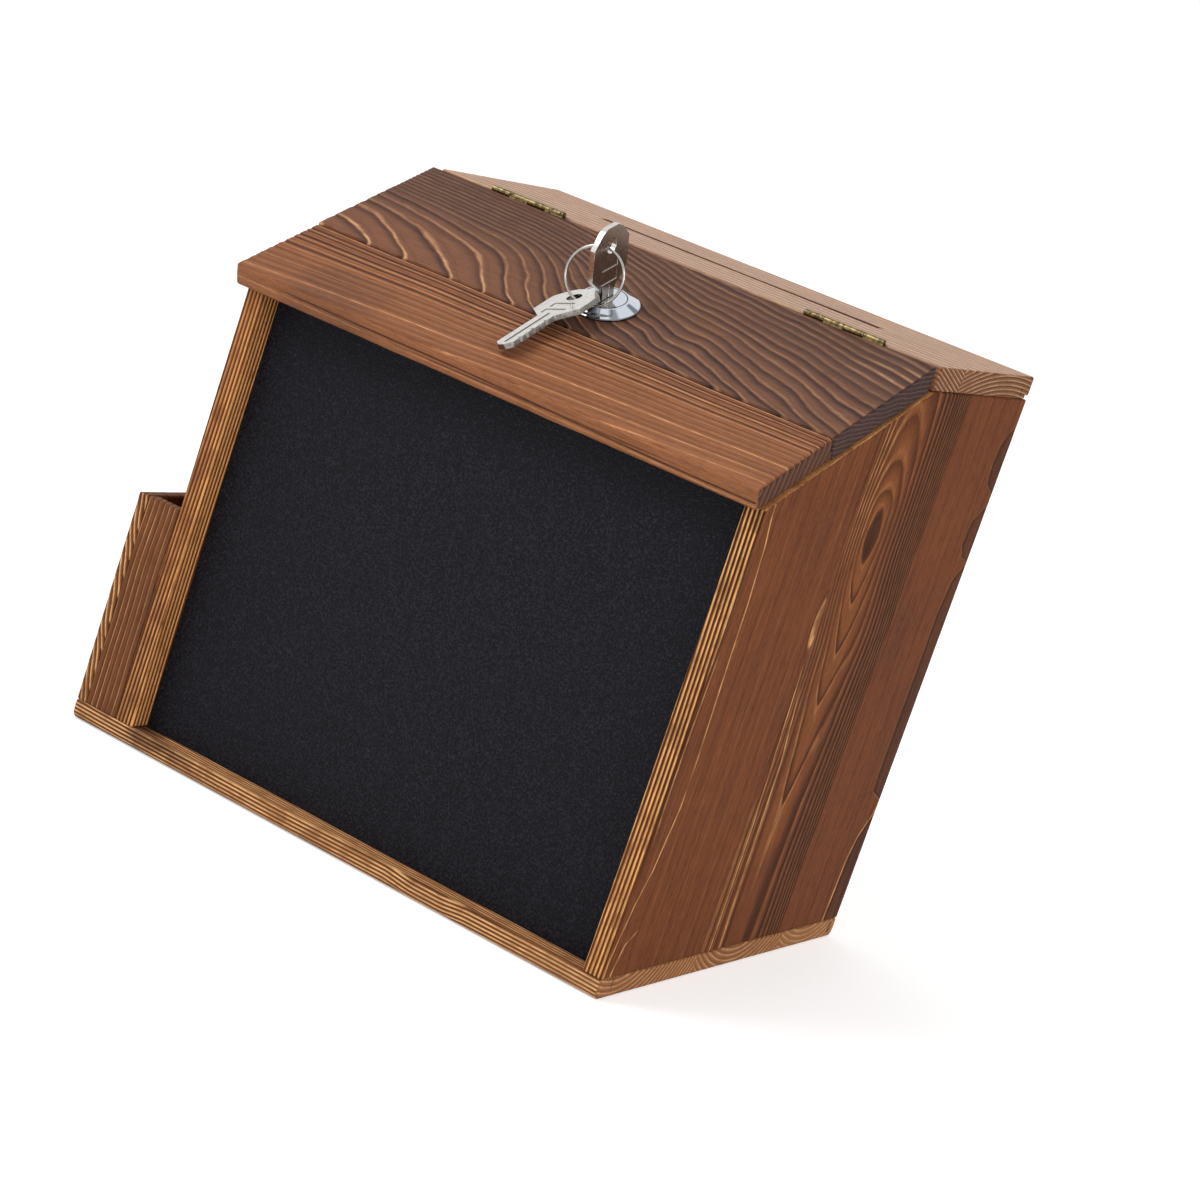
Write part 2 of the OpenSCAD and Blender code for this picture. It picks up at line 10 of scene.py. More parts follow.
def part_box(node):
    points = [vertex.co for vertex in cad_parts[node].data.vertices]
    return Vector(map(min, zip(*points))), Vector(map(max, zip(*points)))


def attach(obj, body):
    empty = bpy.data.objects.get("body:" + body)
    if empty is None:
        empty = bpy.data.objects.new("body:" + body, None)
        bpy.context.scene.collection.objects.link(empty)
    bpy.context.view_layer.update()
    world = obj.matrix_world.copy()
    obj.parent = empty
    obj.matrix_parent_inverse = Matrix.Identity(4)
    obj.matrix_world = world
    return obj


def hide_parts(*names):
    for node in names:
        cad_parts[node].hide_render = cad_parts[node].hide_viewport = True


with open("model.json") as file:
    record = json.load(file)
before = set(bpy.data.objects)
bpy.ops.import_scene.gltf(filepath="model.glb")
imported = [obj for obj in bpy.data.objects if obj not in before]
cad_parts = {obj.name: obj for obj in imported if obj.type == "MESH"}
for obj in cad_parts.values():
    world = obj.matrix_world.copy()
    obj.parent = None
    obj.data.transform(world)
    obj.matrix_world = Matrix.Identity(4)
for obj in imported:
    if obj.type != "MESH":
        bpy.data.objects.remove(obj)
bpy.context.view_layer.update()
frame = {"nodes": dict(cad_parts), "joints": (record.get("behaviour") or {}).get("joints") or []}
MM = 0.001


# Sizes from the frame, in millimetres
def corners(node):
    """Lowest and highest corner of a CAD node."""
    return [[round(value / MM, 4) for value in corner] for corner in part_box(node)]


def points_of(node):
    """The x, y and z of all mesh points of a CAD node."""
    return np.array([v.co for v in frame["nodes"][node].data.vertices]).T / MM


def joint(name):
    return next(j for j in frame["joints"] if j["name"] == name)


(LEFT, FRONT, _), (RIGHT, BACK, BASE_TOP) = corners("base_board")
(BODY_LEFT, _, _), (INSIDE_LEFT, _, _) = corners("left_side_board")
(_, PLANK_FRONT, PLANK_UNDER), (_, _, BOX_TOP) = corners("top_plank")
(LID_LEFT, _, _), (LID_RIGHT, _, _) = corners("lid_rear_board")
BASE_W, PLANK_W, LID_W = RIGHT - LEFT, RIGHT - BODY_LEFT, LID_RIGHT - LID_LEFT
DEPTH = BACK - FRONT
# SIDE is the thickness of a side board, TOP that of the plank and the lid
SIDE = INSIDE_LEFT - BODY_LEFT
TOP = round(BOX_TOP - PLANK_UNDER, 4)
_, side_y, side_z = points_of("right_side_board")
FRONT_H = round(side_z[side_y < FRONT + 0.01].max(), 4)

# The lock's axis stands square on the lid, and the hinge line is midway between plank and lid
LOCK = [value / MM for value in joint("plug_turn")["pos_m"]]
SLOPE = math.radians(round(math.degrees(math.asin(joint("plug_turn")["axis"][1])), 1))
HALF_GAP = 0.5
HINGE_Y = PLANK_FRONT - HALF_GAP
# Diameters of the lock's flange and of its turning face
FLANGE_D, FACE_D = 22.5, 14.0


# Numbers at a place
class Num:
    """A number at each place: a socket of a material that is being built."""

    def __init__(self, socket):
        self.socket = socket

    def __add__(self, other):
        return calc("ADD", self, other)

    def __radd__(self, other):
        return calc("ADD", other, self)

    def __sub__(self, other):
        return calc("SUBTRACT", self, other)

    def __rsub__(self, other):
        return calc("SUBTRACT", other, self)

    def __mul__(self, other):
        return calc("MULTIPLY", self, other)

    def __rmul__(self, other):
        return calc("MULTIPLY", other, self)

    def __truediv__(self, other):
        return calc("DIVIDE", self, other)

    def __rtruediv__(self, other):
        return calc("DIVIDE", other, self)

    def __neg__(self):
        return calc("MULTIPLY", self, -1.0)


WITH_NUMPY = {
    "ADD": np.add, "SUBTRACT": np.subtract, "MULTIPLY": np.multiply, "DIVIDE": np.divide,
    "POWER": np.power, "SINE": np.sin, "ABSOLUTE": np.abs, "MINIMUM": np.minimum,
    "MAXIMUM": np.maximum, "FRACT": lambda a: a - np.floor(a), "FLOOR": np.floor, "SQRT": np.sqrt,
}


def feed(socket, value):
    """Link a number to a socket, or write a constant on it."""
    if isinstance(value, Num):
        socket.id_data.links.new(value.socket, socket)
    else:
        socket.default_value = value


def calc(kind, *terms):
    """One sum, by a node where a term is a Num and with numpy where none is."""
    nums = [t for t in terms if isinstance(t, Num)]
    if not nums:
        return WITH_NUMPY[kind](*terms)
    node = nums[0].socket.id_data.nodes.new("ShaderNodeMath")
    node.operation = kind
    for socket, term in zip(node.inputs, terms):
        feed(socket, term)
    return Num(node.outputs[0])


def sine(a):
    return calc("SINE", a)


def power(a, p):
    return calc("POWER", a, p)


def size(a):
    return calc("ABSOLUTE", a)


def least(a, b):
    return calc("MINIMUM", a, b)


def most(a, b):
    return calc("MAXIMUM", a, b)


def fract(a):
    return calc("FRACT", a)


def floor(a):
    return calc("FLOOR", a)


def root(a):
    return calc("SQRT", a)


def mix(a, b, share):
    """a where share is 0, b where it is 1."""
    return a + (b - a) * share


def step(a, low, high, kind="SMOOTHSTEP"):
    """0 at low, 1 at high, and smooth or straight between."""
    if isinstance(a, Num):
        node = a.socket.id_data.nodes.new("ShaderNodeMapRange")
        node.interpolation_type = kind
        feed(node.inputs["Value"], a)
        feed(node.inputs["From Min"], low)
        feed(node.inputs["From Max"], high)
        return Num(node.outputs["Result"])
    t = np.clip((a - low) / (high - low), 0.0, 1.0)
    return t * t * (3 - 2 * t) if kind == "SMOOTHSTEP" else t


def through(a, points):
    """Straight pieces through the points (a, value), level beyond the ends."""
    total = points[0][1]
    for (a0, v0), (a1, v1) in zip(points, points[1:]):
        if v1 != v0:
            total = total + step(a, a0, a1, "LINEAR") * (v1 - v0)
    return total


def band(a, low, high, soft):
    """1 between low and high, fading over soft outside."""
    return step(a, low - soft, low) * (1 - step(a, high, high + soft))


def line(offset, half):
    """1 on a line, 0 from half a width away."""
    return 1 - step(size(offset), half * 0.25, half)


def strokes(place, marks):
    """The strongest of some lines, each given as (place, half width, strength)."""
    total = 0.0
    for at, half, strength in marks:
        total = most(total, line(place - at, half) * strength)
    return total


def sway(a, b, wave, turn=0.0):
    """Smooth wander between about -1 and 1, with waves of about this length."""
    k = 2 * math.pi / wave
    return (sine(a * k + b * (0.37 * k) + turn) * 0.5
            + sine(a * (1.73 * k) - b * (0.61 * k) + (turn + 2.1)) * 0.3
            + sine(a * (0.47 * k) + b * (1.19 * k) + (turn + 4.4)) * 0.35)


def chance(n, turn=0.0):
    """A steady random share from 0 to 1 for each whole number n."""
    return fract(sine(n * 1.93 + turn) * 7.31 + 3.7)


# Places on the boards: along, across and deep, in millimetres
def on_lid(x, y, z):
    """From the lid's left end, down the slope from the hinge line, and under its face."""
    c, s = math.cos(SLOPE), math.sin(SLOPE)
    y, z = y - HINGE_Y, z - BOX_TOP
    return x - LID_LEFT, -(y * c + z * s), y * s - z * c


def on_plank(x, y, z):
    return x - BODY_LEFT, y - PLANK_FRONT, BOX_TOP - z


def on_right(x, y, z):
    return y - FRONT, z, RIGHT - x


def on_left(x, y, z):
    return y - FRONT, z, x - BODY_LEFT


def on_base(x, y, z):
    return x - LEFT, y - FRONT, z


def on_pocket(x, y, z):
    return y - FRONT, z, x - LEFT


def on_pocket_end(x, y, z):
    return x - LEFT, z, y - FRONT


SEAM = round(on_lid(*points_of("lid_rear_board"))[1].max(), 4)
LID_LEN = round(on_lid(*points_of("lid_front_board"))[1].max(), 4)


# Wood figures
# Each figure gives, at a place on its board, the strength of pale lines, of dark
# lines, and the tone: above 0 darker and more burnt, below 0 paler.
def rings(count, pitch, pale, dark, soft):
    """Pale and dark lines, in mm, of growth rings that are pitch mm apart."""
    share = fract(count)
    in_mm = share * pitch
    left = (1 - share) * pitch
    light = step(in_mm, 0.0, soft) * (1 - step(in_mm, pale * 0.35, pale))
    deep = (1 - step(left, 0.0, dark)) * step(left, 0.0, soft)
    return light, deep


def even_rings(place, pitch, pale, dark, soft):
    """Rings that lie pitch mm apart along place."""
    return rings(place / pitch, pitch, pale, dark, soft)


def front_edge(y):
    """1 on a board's front edge, 0 behind it."""
    return 1 - step(y, 0.25, 0.7)


def edge_rings(w):
    """The upright lines on the front edges of the two side boards."""
    return even_rings(w, 1.45, 0.95, 0.85, 0.25)


# Rings of the lid's rear board, counted along the seam and up from it
ALONG_SEAM = [(-8, 0), (0, 0.05), (18.7, 1), (32.7, 2), (51.9, 3), (65, 4), (75.6, 5), (85, 6), (98, 7),
              (108, 8), (122.5, 9), (139, 10), (152, 11), (163, 12), (175, 13), (187, 14), (200, 15)]
UP_WEST = [(0, 0), (9.6, 1), (19, 2), (24.6, 3), (29.6, 4), (34, 5), (37.1, 6), (60, 16.8)]
UP_EAST = [(0, 0), (15, 2.35), (30, 5.3), (45, 8.8), (60, 12.9)]
RINGS_AT_LOCK = 11.0


def lid_rear(x, d, w):
    """Rings round the seam's left end in the west, flatter ones east of the lock."""
    along = x + w * 0.5
    u = most(SEAM - d + w * 0.35, 0.02)
    east = step(along, 50.0, 125.0)
    west = 1 - east
    # Waves lie on both counts, and they calm down away from the seam
    calm = 1 - 0.65 * step(u, 14.0, 40.0)
    lean_in = through(u, [(0, 0), (5, 3.2), (12, 5.0)]) - 2.0
    dent = line(along - 120.0, 20.0) * sine((along - 113.0) * 0.36) * 1.6
    xs = along + lean_in + (sway(u, along, 19.0, 0.4) * 0.8 - dent) * calm
    us = u + (sway(along, u, 27.0, 1.7) * 0.5 + sway(along, u, 9.0, 0.2) * 0.2) * calm
    us = most(us, 0.02)
    across = most(through(xs, ALONG_SEAM), 0.001)
    up = most(through(us, UP_WEST), 0.001)
    p = 1.5
    g_west = power(power(across, p) + power(up, p), 1 / p)
    spread = through(us, [(0, 1), (30, 0.78), (60, 0.45)])
    ripple = sway(along, us, 31.0, 0.6) * 0.14 * step(us, 3.0, 12.0)
    g_east = RINGS_AT_LOCK + (across - RINGS_AT_LOCK) * spread + through(us, UP_EAST)
    g = g_west * west + (g_east + ripple) * east
    # The pitch follows from how fast the count grows each way
    lean = power(across / g_west, p - 1) * 0.078 * west + 0.083 * spread * east
    rise = 0.105 + 0.1 * step(us, 14.0, 20.0) + 0.26 * step(us, 34.0, 40.0)
    rise = power(up / g_west, p - 1) * rise * west + (0.135 + 0.0026 * us) * east
    pitch = 1 / root(lean * lean + rise * rise)
    light, deep = rings(g, pitch, 1.7, 3.4, 0.45)
    _, half_deep = rings(g * 2 + 0.3, pitch * 0.5, 0.9, 1.8, 0.4)
    own = chance(floor(g))
    low = 1 - step(u, 8.0, 40.0)
    near = 1 - step(u, 2.0, 17.0)
    corner = band(along, 182.0, 200.0, 10.0) * band(u, 40.0, 48.0, 5.0)
    light = light * (0.05 + 0.16 * own + 0.45 * low * west + 0.40 * near * west + 0.10 * low * east
                     + 0.4 * corner)
    deep = most(deep * (0.55 + 0.45 * own + 0.25 * low * east), half_deep * (0.25 - 0.12 * east))
    tone = 0.16 + 0.25 * step(u, 22.0, 50.0) - 0.34 * low * west + 0.06 * step(along, 150.0, 190.0)
    tone = tone + 0.30 * band(along, 92.0, 118.0, 14.0) * low
    end = step(x, LID_W - 0.8, LID_W - 0.3)
    e_light, e_deep = even_rings(w + d * 0.3 + sway(d, w, 24.0, 2.0) * 0.5, 1.5, 0.5, 1.1, 0.2)
    light = mix(light, e_light * 0.16, end)
    deep = mix(deep, 0.75 + e_deep * 0.4, end)
    return light, deep, tone + 0.6 * end


# Lines of the lid's front board: mm down the slope, half width, strength
LID_DARK = [(60.2, 1.1, 0.9), (61.9, 0.6, 0.6), (63.4, 1.1, 1.0), (65.5, 0.9, 0.9), (67.0, 0.5, 0.6),
            (68.6, 1.0, 1.0), (71.3, 0.9, 0.9), (73.0, 0.5, 0.4), (75.3, 1.2, 0.9), (78.0, 0.6, 0.3),
            (80.2, 1.1, 0.5), (83.6, 1.6, 0.4), (86.0, 0.7, 0.25), (87.9, 1.3, 0.4), (91.2, 1.5, 0.4),
            (95.5, 1.0, 0.2), (98.4, 1.6, 0.35), (101.6, 1.6, 0.4), (105.5, 1.2, 0.3)]
LID_PALE = [(61.1, 0.5, 0.5), (64.5, 0.5, 0.35), (70.0, 0.6, 0.4), (73.9, 0.5, 0.35), (77.0, 0.6, 0.3),
            (85.0, 0.4, 0.2), (93.6, 0.5, 0.8), (103.2, 0.45, 0.55), (109.5, 0.5, 0.5)]


def lid_front(x, d, w):
    """Fine lines along the board, which fan out slightly to the right."""
    fanned = d + w * 0.28 + (x - 27.0) * (d - 60.0) * 0.0026 + sway(x, d, 70.0, 0.9) * 0.35
    dark = strokes(fanned, LID_DARK)
    light = strokes(fanned, LID_PALE)
    light = light * (0.55 + 0.45 * step(x, 20.0, 60.0) + 0.25 * step(x, 90.0, 130.0))
    tone = 0.42 * band(x, 27.0, 46.0, 12.0) * step(d, 74.0, 84.0) - 0.12 + sway(x, d, 60.0, 3.0) * 0.06
    # Front face: thin sloping lines
    face = step(d, LID_LEN - 0.5, LID_LEN - 0.1)
    f_dark = line(w - 2.4 - x * 0.014 - sine(x * 0.05) * 0.3, 0.5) * step(x, 8.0, 30.0)
    f_dark = most(f_dark, line(w - 5.6 + x * 0.012, 0.5) * band(x, 60.0, 150.0, 25.0) * 0.8)
    f_light = line(w - 4.2 - x * 0.011, 0.5) * 0.35
    dark = mix(dark, f_dark, face)
    light = mix(light, f_light, face)
    # Right end: strokes that lean towards the hinges
    end = step(x, LID_W - 0.8, LID_W - 0.3)
    e_light, e_dark = even_rings(d - w * 0.7 + sway(d, w, 20.0) * 0.4, 3.3, 0.7, 2.3, 0.4)
    light = mix(light, e_light * 0.25, end)
    dark = mix(dark, 0.55 + e_dark * 0.6, end)
    return light, dark, tone + 0.7 * end


# The right side board is glued from three strips, which meet this far behind its front edge
GLUE_1, GLUE_2 = 61.0, 115.0
# Rings of its middle strip, counted each way from the eye of the ovals
EYE_Y, EYE_Z = 77.2, 144.7
RINGS_ACROSS = [(-19.2, 8), (-17.2, 7), (-15.2, 6), (-13.2, 5), (-11.2, 4), (-9.2, 3), (-7.2, 2),
                (-4.7, 1), (0, 0), (4.7, 1), (7.8, 2), (11.3, 3), (14.7, 4), (17.8, 5), (23, 7),
                (27.2, 9), (30.7, 11), (33.9, 13), (38.4, 16), (42, 18.4)]
RINGS_ABOVE = [(0, 0), (10, 1), (16, 2), (26, 3), (41, 4), (60, 5)]
RINGS_BELOW = [(0, 0), (9, 1), (22, 2), (38.7, 3), (56, 4), (90, 5), (150, 5.3)]
# Its dark rear edge, as (height, mm behind the front edge)
REAR_EDGE = [(8, 148.3), (30, 150), (37, 152), (46, 158.8), (50, 159.4), (54, 151), (60, 150.2),
             (117, 150), (129, 152), (135.5, 159.4), (137.5, 153), (142, 149.6), (150, 151),
             (155.5, 158.8), (158.5, 159.4), (160.5, 157), (163, 152), (170, 150.6), (176, 151.5),
             (180.5, 155), (183, 159.6)]


def right_front_strip(y, z):
    """Plain, with a few curved pale lines near the front."""
    curve = through(z, [(13, 1), (31, 5), (41, 8.7), (61, 12.2), (76, 12.2), (99, 10.6), (124, 9.4),
                        (142, 7.5), (152, 5)])
    hook = through(z, [(5, 4.6), (9, 5.2), (17, 7.5), (21, 12.5)])
    light = line(y - curve, 0.55) * (1 - 0.7 * line(z - 69.0, 7.0)) * 0.85
    light = most(light, line(y - 2.4 - sine(z * 0.06) * 0.6, 0.6) * band(z, 58.0, 104.0, 12.0) * 0.6)
    light = most(light, line(y - hook, 0.6) * band(z, 7.0, 20.0, 2.0) * 0.8)
    dark = (1 - step(y, 0.4, 4.0)) * band(z, 48.0, 128.0, 20.0) * 0.8
    dark = most(dark, line(y - 58.5, 1.4) * step(z, 120.0, 160.0) * 0.5)
    fine = sway(y, z * 0.02, 4.6, 1.0)
    dark = most(dark, step(fine, 0.2, 0.9) * 0.20)
    return most(light, step(-fine, 0.4, 0.9) * 0.05), dark


def right_middle_strip(y, z):
    """Nested pointed ovals round a dark eye."""
    below = EYE_Z - z
    aside = y - EYE_Y - 5.0 * step(below, 0.0, 40.0) + sway(z, y, 60.0, 0.3) * 0.4
    up = most(-below, 0.0)
    down = most(below, 0.0)
    flank = through(aside, RINGS_ACROSS)
    along = through(up, RINGS_ABOVE) + through(down, RINGS_BELOW)
    p = 1.35 + 0.9 * step(size(aside), 4.0, 14.0) + 0.5 * step(up, 0.0, 10.0)
    g = power(power(flank + 0.001, p) + power(along + 0.001, p), 1 / p)
    axis = line(aside, 11.0) * step(down, 6.0, 16.0)
    west = step(-aside, 4.0, 8.0)
    pitch = 3.1 - 1.4 * step(aside, 14.0, 30.0) - 0.9 * west + 11.0 * axis
    light, dark = rings(g, pitch, 1.0 + 1.6 * axis, 2.6 + 2.8 * axis, 0.35)
    own = chance(floor(g), 1.0)
    light = light * (0.08 + 0.08 * own + 0.10 * axis + 0.42 * west * step(z, 132.0, 146.0)
                     + 0.10 * west * (1 - step(z, 104.0, 126.0)))
    low_1 = line(y - through(z, [(7, 67.0), (49, 66.2), (103, 61.4)]), 0.55) * (1 - step(z, 96.0, 106.0))
    low_2 = line(y - through(z, [(7, 73.4), (71, 70.2), (97, 64.6)]), 0.55) * (1 - step(z, 84.0, 98.0))
    light = most(light, most(low_1, low_2) * 0.8)
    dark = dark * (0.6 + 0.3 * own + 0.25 * axis + 0.25 * step(aside, 6.0, 20.0)) * (1 - 0.3 * west)
    round_eye = power(size(y - 77.4) / 5.0, 1.7) + power(size(z - 145.2) / 10.2, 1.7)
    eye = 1 - step(power(round_eye, 0.59), 0.72, 1.0)
    glow = (1 - step(size(aside), 4.0, 12.0)) * band(z, 46.0, 178.0, 14.0)
    tone = 0.22 * step(aside, 8.0, 24.0) - 0.5 * glow
    return light * (1 - eye), most(dark, eye * 0.95), tone


def right_rear_strip(y, z):
    """Plain, with dark patches along the rear edge."""
    rear = through(z, REAR_EDGE)
    light = line(y - rear + 0.9, 0.7) * (0.85 - 0.75 * step(z, 46.0, 54.0))
    dark = step(sway(y, z * 0.03, 5.2, 2.0), 0.1, 0.9) * 0.26
    dark = most(dark, line(y - rear - 0.6, 1.2) * 0.7)
    return light, dark, 0.6 * step(y - rear, -2.6, 2.4)


def right_side(y, z, w):
    in_1 = 1 - step(y, GLUE_1 - 0.1, GLUE_1 + 0.1)
    in_3 = step(y, GLUE_2 - 0.2, GLUE_2 + 0.2)
    in_2 = (1 - in_1) * (1 - in_3)
    light_1, dark_1 = right_front_strip(y, z)
    light_2, dark_2, tone_2 = right_middle_strip(y, z)
    light_3, dark_3, tone_3 = right_rear_strip(y, z)
    light = light_1 * in_1 + light_2 * in_2 + light_3 * in_3
    dark = dark_1 * in_1 + dark_2 * in_2 + dark_3 * in_3
    tone = tone_2 * in_2 + tone_3 * in_3 - 0.02 + sway(y, z, 80.0, 0.7) * 0.05
    # Half a knot, cut off by the first glue line
    knot = root(power(size(y - 60.5) / 2.6, 2) + power(size(z - 117.0) / 9.0, 2))
    core = root(power(size(y - 61.4) / 2.0, 2) + power(size(z - 118.5) / 6.4, 2))
    knot_light = (1 - step(knot, 0.75, 1.0)) * (0.25 + 0.6 * step(core, 0.8, 1.0))
    light = most(light, knot_light * (1 - step(y, 61.6, 62.0)))
    dark = most(dark, line(knot - 1.2, 0.14) * (1 - step(y, 61.0, 61.4)) * 0.4)
    dark = most(dark, line(y - GLUE_1, 0.35) * 0.45)
    # Front edge: upright pale lines; the upper edge under the lid is pale
    f_light, f_dark = edge_rings(w + sine(z * 0.022 + 0.4) * 1.1)
    f_tone = 0.55 * step(z, 60.0, 150.0) - 0.75 * (1 - step(z, 10.0, 70.0))
    on_front = front_edge(y)
    light = mix(light, f_light * 1.35, on_front)
    dark = mix(dark, f_dark * 1.1, on_front)
    tone = mix(tone, f_tone, on_front)
    roof = least(FRONT_H + y * math.tan(SLOPE), PLANK_UNDER)
    under = (1 - step(roof - z, 0.1, 0.45)) * (1 - step(y, 84.0, 86.0))
    return mix(light, 1.0 - 0.55 * step(w, 0.25, 0.5), under), dark, tone


def left_side(y, z, w):
    g = (y + sine(y * 0.09) * 5.0 + sway(z, y, 150.0) * 1.3) / 4.6
    light, dark = rings(g, 4.6, 0.6, 1.8, 0.3)
    own = chance(floor(g), 3.0)
    light = light * (0.05 + 0.4 * own * own)
    dark = dark * (0.25 + 0.5 * own)
    # Front edge: upright lines
    f_light, f_dark = edge_rings(w + sine(z * 0.019 + 1.9) * 1.2)
    f_tone = 0.35 * (1 - step(z, 20.0, 80.0)) - 0.45 * step(z, 100.0, 150.0)
    on_front = front_edge(y)
    light = mix(light, f_light * (0.62 + 0.4 * step(w, 3.0, 6.0)), on_front)
    dark = mix(dark, f_dark * 1.25, on_front)
    # Inner face in front of the chalkboard: strong pale lines
    i_light, i_dark = rings((y * 0.9 + sine(z * 0.03) * 0.6) / 1.6, 1.7, 1.1, 0.9, 0.3)
    inner = step(w, SIDE - 0.7, SIDE - 0.25) * (1 - step(y, 9.0, 10.0))
    light = mix(light, i_light * 1.6, inner)
    dark = mix(dark, i_dark * 1.3, inner)
    tone = mix(0.05 + sway(y, z, 70.0, 2.0) * 0.08, f_tone, on_front)
    return light, dark, mix(tone, 0.75 * step(y, 3.5, 7.0) - 0.8, inner)


# The plank's front strip is this wide, and its tree's heart lies below the plank
FRONT_STRIP = 18.5
HEART_V, HEART_DEPTH = 57.0, 105.0


def plank(x, v, w):
    wavy = v + sway(x, v, 60.0, 1.2) * 0.6
    in_strip = 1 - step(v, FRONT_STRIP - 0.1, FRONT_STRIP + 0.1)
    deep = TOP - w + HEART_DEPTH
    dist = root((wavy - HEART_V) * (wavy - HEART_V) + deep * deep)
    light, dark = even_rings(dist + x * 0.072, 1.5, 0.6, 0.9, 0.2)
    light_f, dark_f = even_rings(w - v * 0.42 + sway(x, v, 90.0, 2.0) * 0.6, 1.5, 0.6, 0.9, 0.2)
    light = mix(light, light_f, in_strip)
    dark = mix(dark, dark_f, in_strip)
    end = step(x, PLANK_W - 0.7, PLANK_W - 0.2)
    top = (1 - step(w, 0.3, 0.9)) * (1 - end)
    # Upper face: wide streaks that cross at a low angle, and a few dark ones
    streaks, shadows = even_rings(wavy + x * 0.045 + sway(x, v, 130.0, 0.3) * 1.6, 6.5, 2.6, 3.0, 0.8)
    own = chance(floor((wavy + x * 0.045) / 6.5), 2.0)
    light = light * (1 - top) * (0.45 + 0.3 * end) + streaks * top * (0.3 + 0.7 * own)
    dark = dark * (1 - top) * (0.5 + 0.35 * end) + shadows * top * (0.2 + 0.5 * own)
    dark = most(dark, line(v - 32.0 - x * 0.01, 1.2) * band(x, 110.0, 165.0, 18.0) * top * 0.45)
    dark = most(dark, line(v - 68.0, 0.9) * end * step(w, 3.0, 4.0))
    dark = most(dark, line(v - FRONT_STRIP, 0.3) * 0.5 * (1 - top * 0.5))
    slot = band(v, 37.2, 43.2, 0.1) * band(x, 30.0, 165.0, 0.5) * step(w, 0.1, 0.4)
    # The upper face is painted paler: partly the wood's own paler tone, partly a painted reflection of
    # the white room seen at a low angle
    tone = 0.15 * end - 0.75 * top + 0.9 * slot + 0.3 * top * step(v, 70.0, 75.0)
    return light, most(dark, slot), tone


def plank_gloss(x, v, w):
    """The upper face shines at the low angle it is seen at; the ends stay dull."""
    return (1 - step(w, 0.2, 0.6)) * (1 - step(x, PLANK_W - 1.0, PLANK_W - 0.4)) * 0.32 + 0.02


# The base board's glue lines, from its front edge
BASE_GLUE_1, BASE_GLUE_2 = 60.0, 118.0


def base(x, v, z):
    # Upper face: lines along the front
    light, dark = even_rings(v + sway(x, v, 110.0, 0.5) * 1.2, 3.1, 0.8, 1.6, 0.3)
    start = 1 - step(x, 26.0, 40.0)
    near = 1 - step(v, 8.0, 12.0)
    streaks, shadows = even_rings(v + x * 0.012 + sway(x, v, 60.0, 1.5) * 0.5, 1.7, 0.8, 0.9, 0.25)
    light = light * 0.25 + streaks * (1.3 - 1.2 * start) * near
    dark = most(dark * 0.5, shadows * 0.7 * near)
    dark = most(dark, line(v - 1.6, 0.6) * 0.6)
    tone = 1.4 * start - 0.3
    # Front edge: five or six lines with a dip
    dip = line(x - 145.0, 17.0)
    f_light, f_dark = even_rings(z + dip + sine(x * 0.025) * 0.45 + sine(x * 0.09) * 0.1,
                                 1.25, 0.85, 0.75, 0.2)
    on_front = 1 - step(v, 0.9, 2.6)
    patch = band(x, 26.0, 47.0, 6.0) * step(z, 2.0, 4.0)
    f_tone = 0.3 * (1 - step(x, 30.0, 90.0)) - 0.5 * step(x, 160.0, 205.0) + patch * 0.55
    light = mix(light, f_light * (0.95 - 0.4 * patch), on_front)
    dark = mix(dark, f_dark, on_front)
    tone = mix(tone, f_tone, on_front)
    # Right end: arcs of three glued strips
    end = step(x, BASE_W - 0.6, BASE_W - 0.2)
    in_2 = step(v, BASE_GLUE_1 - 0.2, BASE_GLUE_1 + 0.2)
    in_3 = step(v, BASE_GLUE_2 - 0.2, BASE_GLUE_2 + 0.2)
    middle = 9.0 + 76.0 * in_2 + 50.0 * in_3
    arc = root((v - middle) * (v - middle) + (34.0 - z) * (34.0 - z))
    e_light, e_dark = even_rings(arc, 1.9, 0.9, 1.0, 0.3)
    e_dark = most(e_dark * (0.75 - 0.45 * in_3), line(v - 8.0, 0.9) * step(z, 2.4, 3.4) * 0.9)
    e_dark = most(e_dark, line(v - 155.0, 1.8) * band(z, 2.0, 5.0, 1.0))
    light = mix(light, e_light * 0.5, end)
    dark = mix(dark, e_dark * 0.8, end)
    return light, dark, mix(tone, -0.45 - 0.2 * in_3, end)


def pocket_outer(y, z, w):
    g = (y + sine(y * 0.11 + 1.0) * 4.0 + z * 0.1 + sway(z, y, 110.0, 1.0) * 1.6) / 4.4
    light, dark = rings(g, 4.4, 0.7, 2.0, 0.3)
    own = chance(floor(g), 6.0)
    light = light * (0.2 + 0.9 * own * own) * 0.4
    dark = dark * (0.5 + 0.6 * own) * 0.6
    f_light, f_dark = rings((w * 1.5 + z * 0.42 + sway(z, w, 30.0)) / 2.6, 2.4, 1.1, 1.5, 0.3)
    on_front = front_edge(y)
    light = mix(light, f_light * 1.4, on_front)
    dark = mix(dark, f_dark * 0.95, on_front)
    return light, dark, 0.05 - 0.55 * on_front * band(z, 10.0, 70.0, 8.0)


def pocket_end(x, z, w):
    g = (x + sway(z, x, 60.0, 2.0) * 0.5 + w * 0.3) / 2.1
    light, dark = rings(g, 2.1, 0.55, 0.9, 0.2)
    own = chance(floor(g), 5.0)
    return light * (0.35 + 0.6 * own), dark * (0.5 + 0.4 * own), 0.05 + sway(z, x, 40.0) * 0.08


def plain(u, v, w):
    """The pale, quiet lines of unstained wood."""
    light, deep = even_rings(v + sway(u, v, 60.0) * 0.6 + w * 0.4, 3.0, 0.6, 1.2, 0.3)
    return light * 0.2, deep * 0.35, sway(u, v, 40.0) * 0.1


# Colours and materials
def shade(r, g, b):
    """A colour as it looks on a screen, 0 to 255, as Blender's own numbers."""
    def one(c):
        c = c / 255
        return c / 12.92 if c <= 0.04045 else ((c + 0.055) / 1.055) ** 2.4
    return one(r), one(g), one(b), 1.0


